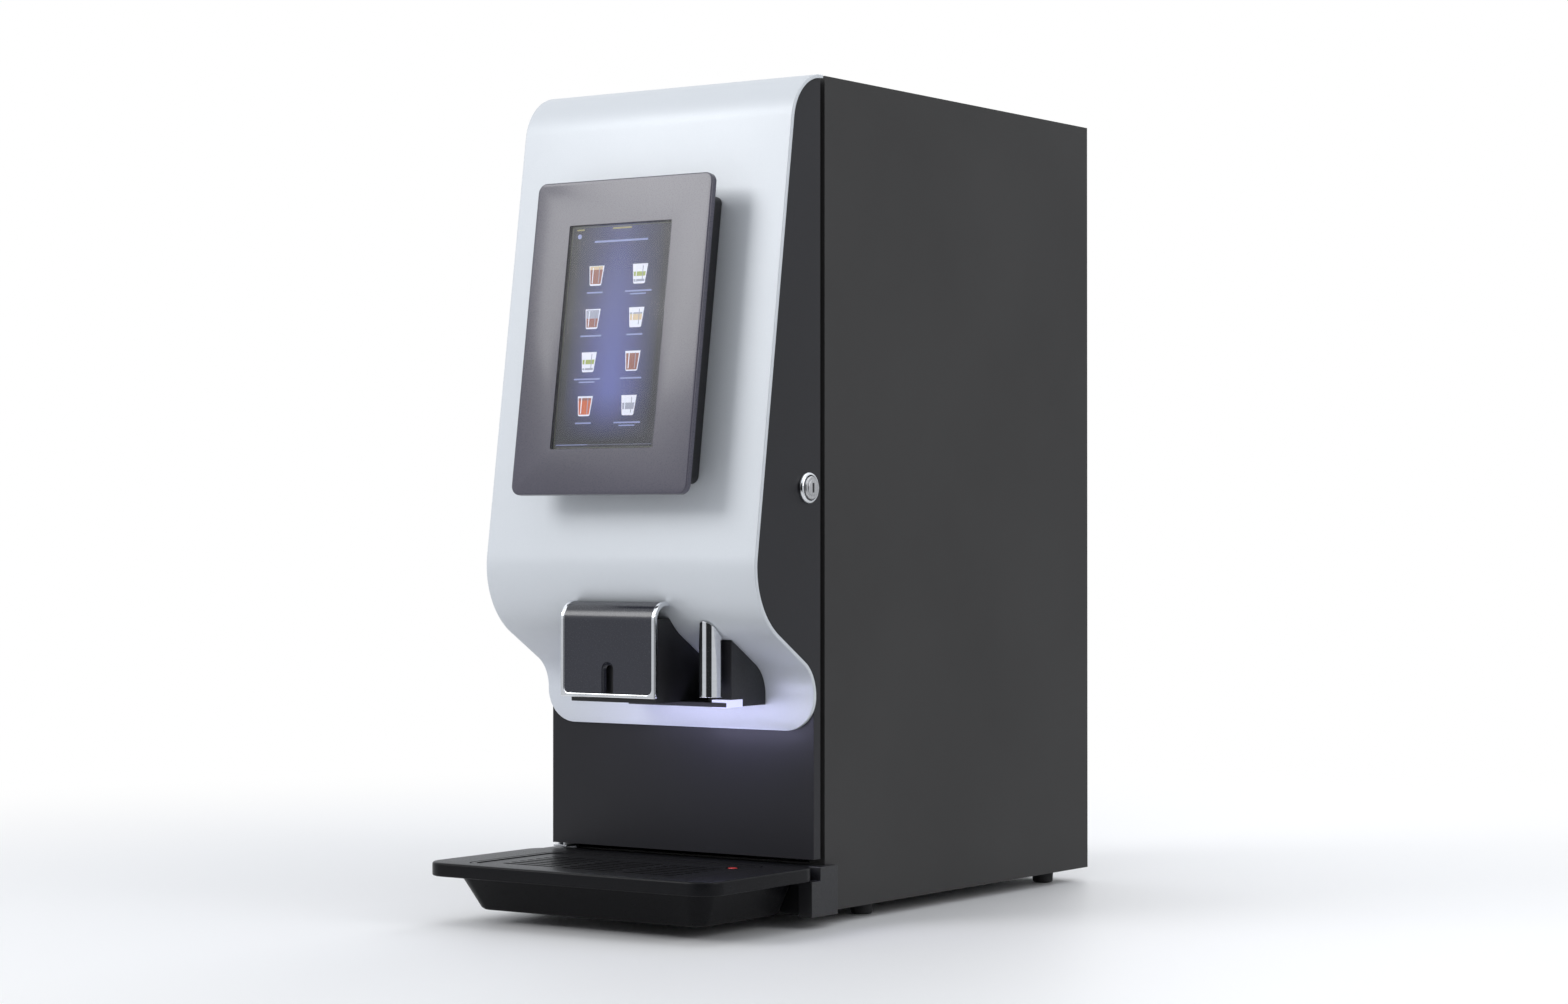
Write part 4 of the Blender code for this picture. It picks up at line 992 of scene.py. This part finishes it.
# ---- Drip tray ----


def tray_ring(inset, z, radius):
    x0, x1 = TRAY[0].x + inset, TRAY[1].x - inset
    y0, y1 = TRAY[0].y + inset, TRAY[1].y - inset * 0.2
    return on_plane(rounded_rect(x0, x1, y0, y1, radius, 14), "z", z)


def build_tray():
    """The tray: its rounded rim, the ledge that carries the grid, and the basin."""
    top, low = TRAY[1].z, TRAY[0].z
    under = top - TRAY_RIM
    foot = ((31, low, 11), (29, low + 1.5, 12), (17, under - 0.5, 16))
    rings = [tray_ring(*sizes) for sizes in foot]
    rings += [tray_ring(inset, under + rise, TRAY_R - inset) for inset, rise in round_over(1.2, 5)[::-1]]
    rings += [tray_ring(inset, top - drop, TRAY_R - inset) for inset, drop in round_over(1.8, 5)]
    x1, y0, y1 = GRID_HI.x, GRID_LO.y, GRID_HI.y
    ledge = rounded_rect(-x1 - 1, x1 + 1, y0 - 1, y1 + 1, 13, 12)
    basin = [
        on_plane(rounded_rect(-x1 + side, x1 - side, y0 + front, y1 - rear, radius, 10), "z", z)
        for side, front, rear, radius, z in (
            (11, 19, 9, 8, low + 3),
            (9, 17, 7, 9, low + 4),
            (3, 3, 3, 10, top - 2),
        )
    ]
    holes = [(prism, ledge, "z", top - 3, top + 10), (loft, basin)]
    piece(
        "fine_tray", tray_plastic, "tray", (loft, rings), holes=holes, smooth=32, replaces="drip_tray",
    )


def build_grid():
    """The grid: a lip round its edge, rows of round-ended slots and the float's hole."""
    x1, y0, y1 = GRID_HI.x, GRID_LO.y, GRID_HI.y
    z0, z1 = GRID_LO.z, GRID_HI.z
    outline = rounded_rect(-x1, x1, y0, y1, 12, 12)
    dish = rounded_rect(-x1 + 4, x1 - 4, y0 + 4, y1 - 4, 9, 10)
    through = (z0 - 5, z1 + 5)
    holes = [(prism, dish, "z", z1 - 0.6, z1 + 5)]
    for x in (-57, 0, 57):
        for row in range(7):
            y = y0 + 22 + 9.8 * row
            slot = rounded_rect(x - 25, x + 25, y - 2.2, y + 2.2, 2.1, 6)
            holes.append((prism, slot, "z", *through))
    holes.append((rod, "z", (FLOAT.x, FLOAT.y), 5.2, *through))
    piece(
        "fine_grid", tray_plastic, "grid", (prism, outline, "z", z0, z1), holes=holes, ease=0.25,
        replaces="drip_grid",
    )


# ---- Small hardware on the rear ----


def screw_heads(name, body, sign, y, xs, zs, radius, height=None):
    """Cross-recess screw heads at each x and z of a plane, facing along sign times y."""
    height = height or radius * 0.55
    heads, bars = [], []
    profile = [(y - sign * 0.2, radius)]
    for inset, drop in round_over(1, 5):
        profile.append((y + sign * height * (1 - 0.65 * drop), radius * (1 - 0.45 * inset)))
    low, high = sorted((y + sign * height * 0.35, y + sign * height * 1.5))
    arm, thin = radius * 0.52, radius * 0.13
    for x in xs:
        for z in zs:
            heads.append((turned, "y", (x, z), profile, 28))
            for a, b in ((arm, thin), (thin, arm * 0.99)):
                bars.append((prism, rectangle(x - a, x + a, z - b, z + b), "y", low, high))
    piece(name, steel, body, *heads, holes=bars, smooth=40)


def within(low, high, margin, count=2):
    """Evenly spaced places between two edges, with a margin at each end."""
    step = (high - low - 2 * margin) / (count - 1)
    return [low + margin + step * i for i in range(count)]


def build_rear_details():
    """Panel and fan screws, the mains inlet's blades, and the water inlet's thread and nut."""
    back = PANEL[1].y
    xs, zs = within(-PANEL[1].x, PANEL[1].x, 5), within(PANEL[0].z, PANEL[1].z, 22, 5)
    screw_heads("rear_screws", "cabinet", 1, back, xs, zs, 3.2)
    lo, hi = packed("fan_housing")
    xs, zs = within(lo.x, hi.x, 4), within(lo.z, hi.z, 4)
    screw_heads("fan_screws", "cabinet", 1, back, xs, zs, 2.6)
    socket = middle_of("mains_inlet")
    blades = []
    for a, b in ((1, -1.5), (8, 2.5), (15, -1.5)):
        x, z = socket.x + a, socket.z + b
        blades.append((box, x - 1, x + 1, 261, 271.5, z - 2.2, z + 2.2))
    piece("mains_blades", brass, "cabinet", *blades, ease=0.25)
    at = (INLET.x, INLET.z)
    end = packed("inlet_valve")[1].y
    turns = []
    for i in range(5):
        y = end - 2 - 1.6 * i
        profile = [(y - 0.7, 10.3), (y - 0.1, 11), (y + 0.1, 11), (y + 0.7, 10.3), (y, 9.9)]
        turns.append((turned, "y", at, profile, 48, False))
    piece("inlet_thread", brass, "cabinet", *turns, smooth=25)
    nut = (prism, circle(*at, 15, 6, math.radians(30)), "y", back + 0.3, back + 3)
    bore = (rod, "y", at, 10.9, back - 5, back + 10)
    piece("inlet_nut", brass, "cabinet", nut, holes=[bore], ease=0.4)


# ---- What shows with the door open ----


def build_mixer_details():
    """Elbows and nuts on the mixer plate, the plate's screws and the hoses' clips."""
    face = MIXER_PLATE_Y
    elbows, nuts, clips = [], [], []
    for side, aside in (("left", 12), ("right", -10)):
        lo, hi = packed("mixer_bowl_" + side)
        x, z = (lo.x + hi.x) / 2 + aside, hi.z - 8
        path = [Vector((x, y, z)) for y in (face - 0.2, face - 12, hi.y + 0.6)]
        elbows.append((tube, path, 3.6, 2.2, 24))
        nuts.append((prism, circle(x, z, 7, 6), "y", face - 4.5, face - 0.2))
        clips.append((ring, "y", (MIXER_X[side], MIXER_Z - 14), 6.6, 5.4, -119.2, -116.8))
    piece("mixer_water_inlets", hose_blue, "cabinet", *elbows, smooth=40)
    piece("mixer_water_nuts", brass, "cabinet", *nuts, ease=0.4)
    piece("hose_clips", steel, "cabinet", *clips, ease=0.2)
    lo, hi = packed("inner_frame")
    heights = (210, 275, 338)
    screw_heads("mixer_plate_screws", "cabinet", -1, face - 0.1, within(lo.x, hi.x, 8), heights, 3)


def build_canister_details():
    """Ribs on each lid's finger tab, grip rings round each outlet, and a handle on each front."""
    for side in SIDES:
        lo, hi = packed("canister_" + side)
        x = (lo.x + hi.x) / 2
        lid_lo, lid_hi = packed("canister_lid_" + side)
        z0, z1 = lid_hi.z - 0.2, lid_hi.z + 0.9
        starts = [lid_lo.y + 6 + 3 * i for i in range(4)]
        ribs = [(box, x - 14, x + 14, y, y + 1.2, z0, z1) for y in starts]
        piece("lid_ribs_" + side, moulded, "lid_" + side, *ribs, ease=0.3)
        grips = [(ring, "y", (x, OUTLET_Z), 17.4, 16.3, y, y + 1.6) for y in (-82, -86, -90)]
        piece("outlet_grips_" + side, white_plastic, "outlet_" + side, *grips, ease=0.3)
        outer = rounded_rect(x - 19, x + 19, hi.z - 44, hi.z - 24, 5)
        inner = rounded_rect(x - 16, x + 16, hi.z - 41, hi.z - 27, 4)
        y0, y1 = lo.y - 0.1, lo.y - 2.4
        walls = ((outer, y0), (outer, y1), (inner, y1), (inner, y0))
        handle = [on_plane(outline, "y", y) for outline, y in walls]
        piece("canister_grip_" + side, canister_plastic, "cabinet", (loft, handle, False), ease=0.4)


def build_boiler_details():
    """Bolts on the boiler's lid, its insulating jacket, and the hoses to and from it."""
    lo, hi = packed("boiler")
    bolts = [
        (prism, circle(x, y, 4.2, 6), "z", hi.z + 0.1, hi.z + 3.2)
        for x in (-66, -33, 0, 33, 66)
        for y in (lo.y + 7, hi.y - 7)
    ]
    piece("boiler_bolts", steel, "cabinet", *bolts, ease=0.3)
    jacket = [
        on_plane(rounded_rect(lo.x + a, hi.x - a, lo.y + a, hi.y - a, 28, 10), "z", lo.z + z)
        for a, z in ((5.6, 20), (3.6, 22), (3.6, 118), (5.6, 120))
    ]
    piece("boiler_jacket", foam_black, "cabinet", (loft, jacket), smooth=35)
    x, z = INLET.x, INLET.z
    rise = [(x, 219, z), (x, 208, z + 4), (x + 14, 196, z + 28)]
    fill = smooth_path([*rise, (-48, 180, lo.z - 0.5)])
    piece("fill_hose", hose_blue, "cabinet", (tube, fill, 4.2, 2.8, 24), smooth=40)
    feeds = []
    for side, z in (("left", 288), ("right", 300)):
        x = MIXER_X[side]
        start = [(x * 0.7, lo.y - 0.5, z), (x * 0.75, lo.y - 14, z)]
        end = [(x * 0.9, 30, z + 16), (x * 0.8, MIXER_PLATE_Y + 2, 335)]
        feeds.append((tube, smooth_path(start + end), 4, 2.6))
    piece("mixer_feeds", hose_blue, "cabinet", *feeds, smooth=40)


def build_board_details():
    """Parts and wires on the control board, and the power supply's vented cover."""
    lo, hi = packed("control_board")
    x = hi.x + 0.05
    starts = [lo.y + 22 + 28 * i for i in range(6)]
    plugs = [(box, x, x + 9, y, y + 18, hi.z - 14, hi.z - 6) for y in starts]
    relays = [(box, x, x + 12, y, y + 16, lo.z + 22, lo.z + 42) for y in starts]
    chips = [
        (box, x, x + 1.8, y, y + wide, z, z + tall)
        for y, z, wide, tall in (
            (60, 190, 26, 26), (110, 200, 14, 18), (150, 185, 18, 12), (70, 240, 10, 16),
            (130, 245, 22, 8),
        )
    ]
    spots = ((40, 170), (54, 168), (180, 240), (180, 220))
    cans = [(soft_disc, "x", spot, x, x + 13, 5, 0.8, 28) for spot in spots]
    wires = []
    for y in [start + 9 for start in starts]:
        rise = [(x + 5, y, hi.z - 6), (x + 6, y - 2, hi.z + 4)]
        away = [(x + 5, y - 18, hi.z + 10), (x + 3, lo.y - 6, hi.z + 9)]
        wires.append((tube, smooth_path(rise + away, 6), 1.3, 0, 12))
    piece("board_chips", moulded, "cabinet", *chips, ease=0.2)
    piece("board_plugs", white_plastic, "cabinet", *plugs, ease=0.4)
    piece("board_relays", relay_blue, "cabinet", *relays, ease=0.5)
    piece("board_cans", steel, "cabinet", *cans)
    piece("board_wires", wire_grey, "cabinet", *wires, smooth=40)
    lo, hi = packed("power_supply")
    vents = [
        (box, x, x + 4, lo.y - 5, lo.y + 0.4, lo.z + 12, hi.z - 12)
        for x in [lo.x + 12 + 12 * i for i in range(9)]
    ]
    cover = (box, lo.x + 4, hi.x - 4, lo.y - 1.2, lo.y - 0.1, lo.z + 4, hi.z - 4)
    piece("supply_cover", sheet_steel, "cabinet", cover, holes=vents, ease=0.2)
    xs, zs = within(lo.x, hi.x, 8), within(lo.z, hi.z, 8)
    screw_heads("supply_screws", "cabinet", -1, lo.y - 1.2, xs, zs, 2.2)


def build_door_details():
    """Screws and ribs on the door's liner, and the soft lip round the door's rear edge."""
    lo, hi = packed("door_liner")
    y = hi.y
    xs, zs = within(lo.x, hi.x, 8), within(lo.z, hi.z, 10, 3)
    screw_heads("liner_screws", "door", 1, y, xs, zs, 2.8, 0.9)
    ribs = []
    for i in range(3):
        z = lo.z + 70 + 95 * i
        outline = rounded_rect(lo.x + 26, hi.x - 26, z, z + 6, 2.9, 6)
        ribs.append((prism, outline, "y", y - 0.2, y + 0.9))
    piece("liner_ribs", liner_grey, "door", *ribs, ease=0.5)
    y0, y1 = DOOR[1].y + 0.1, CABINET[0].y - 0.5
    rings = []
    for share, y in ((0, y0), (0, y1 - 0.8), (0.5, y1), (1, y1 - 0.8), (1, y0)):
        inset = SEAL_INSET + SEAL_WIDTH * share
        x0, x1 = DOOR[0].x + inset, DOOR[1].x - inset
        z0, z1 = DOOR[0].z + inset, DOOR[1].z - inset
        outline = rounded_rect(x0, x1, z0, z1, SEAL_R - SEAL_WIDTH * share, 5)
        rings.append(on_plane(outline, "y", y))
    piece("door_seal", rubber, "door", (loft, rings, False), smooth=50)


# ---- Light, room and camera ----


def area_light(name, place, width, height, watts, colour=(1, 1, 1)):
    """A rectangular lamp that shines straight down until it is turned."""
    light = bpy.data.lights.new(name, "AREA")
    light.shape = "RECTANGLE"
    light.size = width
    light.size_y = height
    light.energy = watts
    light.color = colour
    lamp = add_to_scene(name, light)
    lamp.location = place
    return lamp


def aim_at(obj, target):
    obj.rotation_euler = (Vector(target) - obj.location).to_track_quat("-Z", "Y").to_euler()


def build_cup_light():
    """The glow that the lens throws on the fascia's lower band and down the recess wall."""
    violet = (0.62, 0.61, 1)
    band = area_light("band_glow", (0.018, -0.216, 0.150), 0.160, 0.012, 0.062, violet)
    wall = area_light("wall_glow", (0.060, -0.166, 0.145), 0.080, 0.012, 0.022, violet)
    for lamp, tilt in ((band, 84), (wall, 18)):
        lamp.rotation_euler = (math.radians(tilt), 0, 0)
        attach(lamp, "door")


def build_lights():
    for name, place, width, height, watts in (
        ("key_light", (-1.5, -2.3, 1.9), 1.4, 1.4, 38),
        ("top_light", (0.2, -0.2, 2.4), 1.8, 1.4, 3),
        ("side_light", (2.6, 0.2, 1.4), 1, 1.6, 14),
        ("rear_light", (-0.6, 2.6, 1.6), 1.2, 1.2, 20),
    ):
        aim_at(area_light(name, place, width, height, watts), (0, 0, 0.34))


def build_floor():
    """A pale floor. Far from the machine it is plain white to the camera, and mirrors see past it."""
    paint = surface("floor", (0.86, 0.86, 0.87), 0.55, 300.0, 20, mottle=0.01, spread=0.03, patch=0.7)
    n = Nodes(paint)
    far = n.ramp(n.maths("LENGTH", n.place, kind="VectorMath"), 0.0, 1.0, 0.45, 1.5, soft=True)
    rays = n.add("LightPath").outputs
    whitened = n.maths("MULTIPLY", far, rays["Is Camera Ray"])
    hidden = n.maths("MULTIPLY", far, rays["Is Glossy Ray"])
    white = n.add("Emission").outputs[0]
    clear = n.add("BsdfTransparent").outputs[0]
    seen = n.add("MixShader", whitened, n.shader.outputs[0], white).outputs[0]
    whole = n.add("MixShader", hidden, seen, clear).outputs[0]
    n.put(n.tree.nodes["Material Output"].inputs["Surface"], whole)
    half, deep, top = 20000.0, -20.0, -0.1
    floor = new_object("floor", solid([(box, -half, half, -half, half, deep, top)]), paint)
    floor.data.set_sharp_from_angle(angle=math.radians(30))


def build_world():
    """White to the camera, soft grey light elsewhere, and a dark patch by the camera for mirrors."""
    world = bpy.data.worlds.new("studio")
    bpy.context.scene.world = world
    n = Nodes(world)
    way = n.add("TexCoord").outputs["Generated"]
    sky = n.ramp(n.axis("Z", way), 0.32, 0.74, -0.2, 0.9)
    camera_way = (math.sin(CAMERA_AZIMUTH), -math.cos(CAMERA_AZIMUTH), 0.0)
    facing = n.maths("DOT_PRODUCT", way, camera_way, kind="VectorMath")
    dark = n.ramp(facing, 1.8, 0.06, 0.80, 0.88, soft=True)
    rays = n.add("LightPath").outputs
    mirrored = n.add("Mix", rays["Is Glossy Ray"], A=1.0, B=dark).outputs[0]
    strength = n.maths("MULTIPLY", sky, mirrored)
    lighting = n.add("Background", (0.93, 0.96, 1.0, 1.0), strength).outputs[0]
    white = n.add("Background", (1.0, 1.0, 1.0, 1.0), 1.0).outputs[0]
    whole = n.add("MixShader", rays["Is Camera Ray"], lighting, white).outputs[0]
    n.put(n.tree.nodes["World Output"].inputs["Surface"], whole)


def build_camera():
    lens = bpy.data.cameras.new("camera")
    lens.lens = CAMERA_LENS
    lens.sensor_width = CAMERA_SENSOR
    camera = add_to_scene("camera", lens)
    x, y = CAMERA_DISTANCE * math.sin(CAMERA_AZIMUTH), -CAMERA_DISTANCE * math.cos(CAMERA_AZIMUTH)
    camera.location = (x, y, CAMERA_HEIGHT)
    middle = (Vector(cad_bounds[0]) + Vector(cad_bounds[1])) / 2
    aim_at(camera, (0, middle.y, middle.z))
    bpy.context.scene.camera = camera
    bpy.context.scene.view_settings.view_transform = "Standard"


for build in (
    dress_packed_parts, build_fascia, build_bezel, build_screen_housing, build_screen_picture,
    build_outlet_housing, build_spout_cover, build_water_outlet, build_cup_light, build_lock,
    build_tray, build_grid, build_rear_details, build_mixer_details, build_canister_details,
    build_boiler_details, build_board_details, build_door_details, build_floor, build_world,
    build_lights, build_camera,
):
    build()
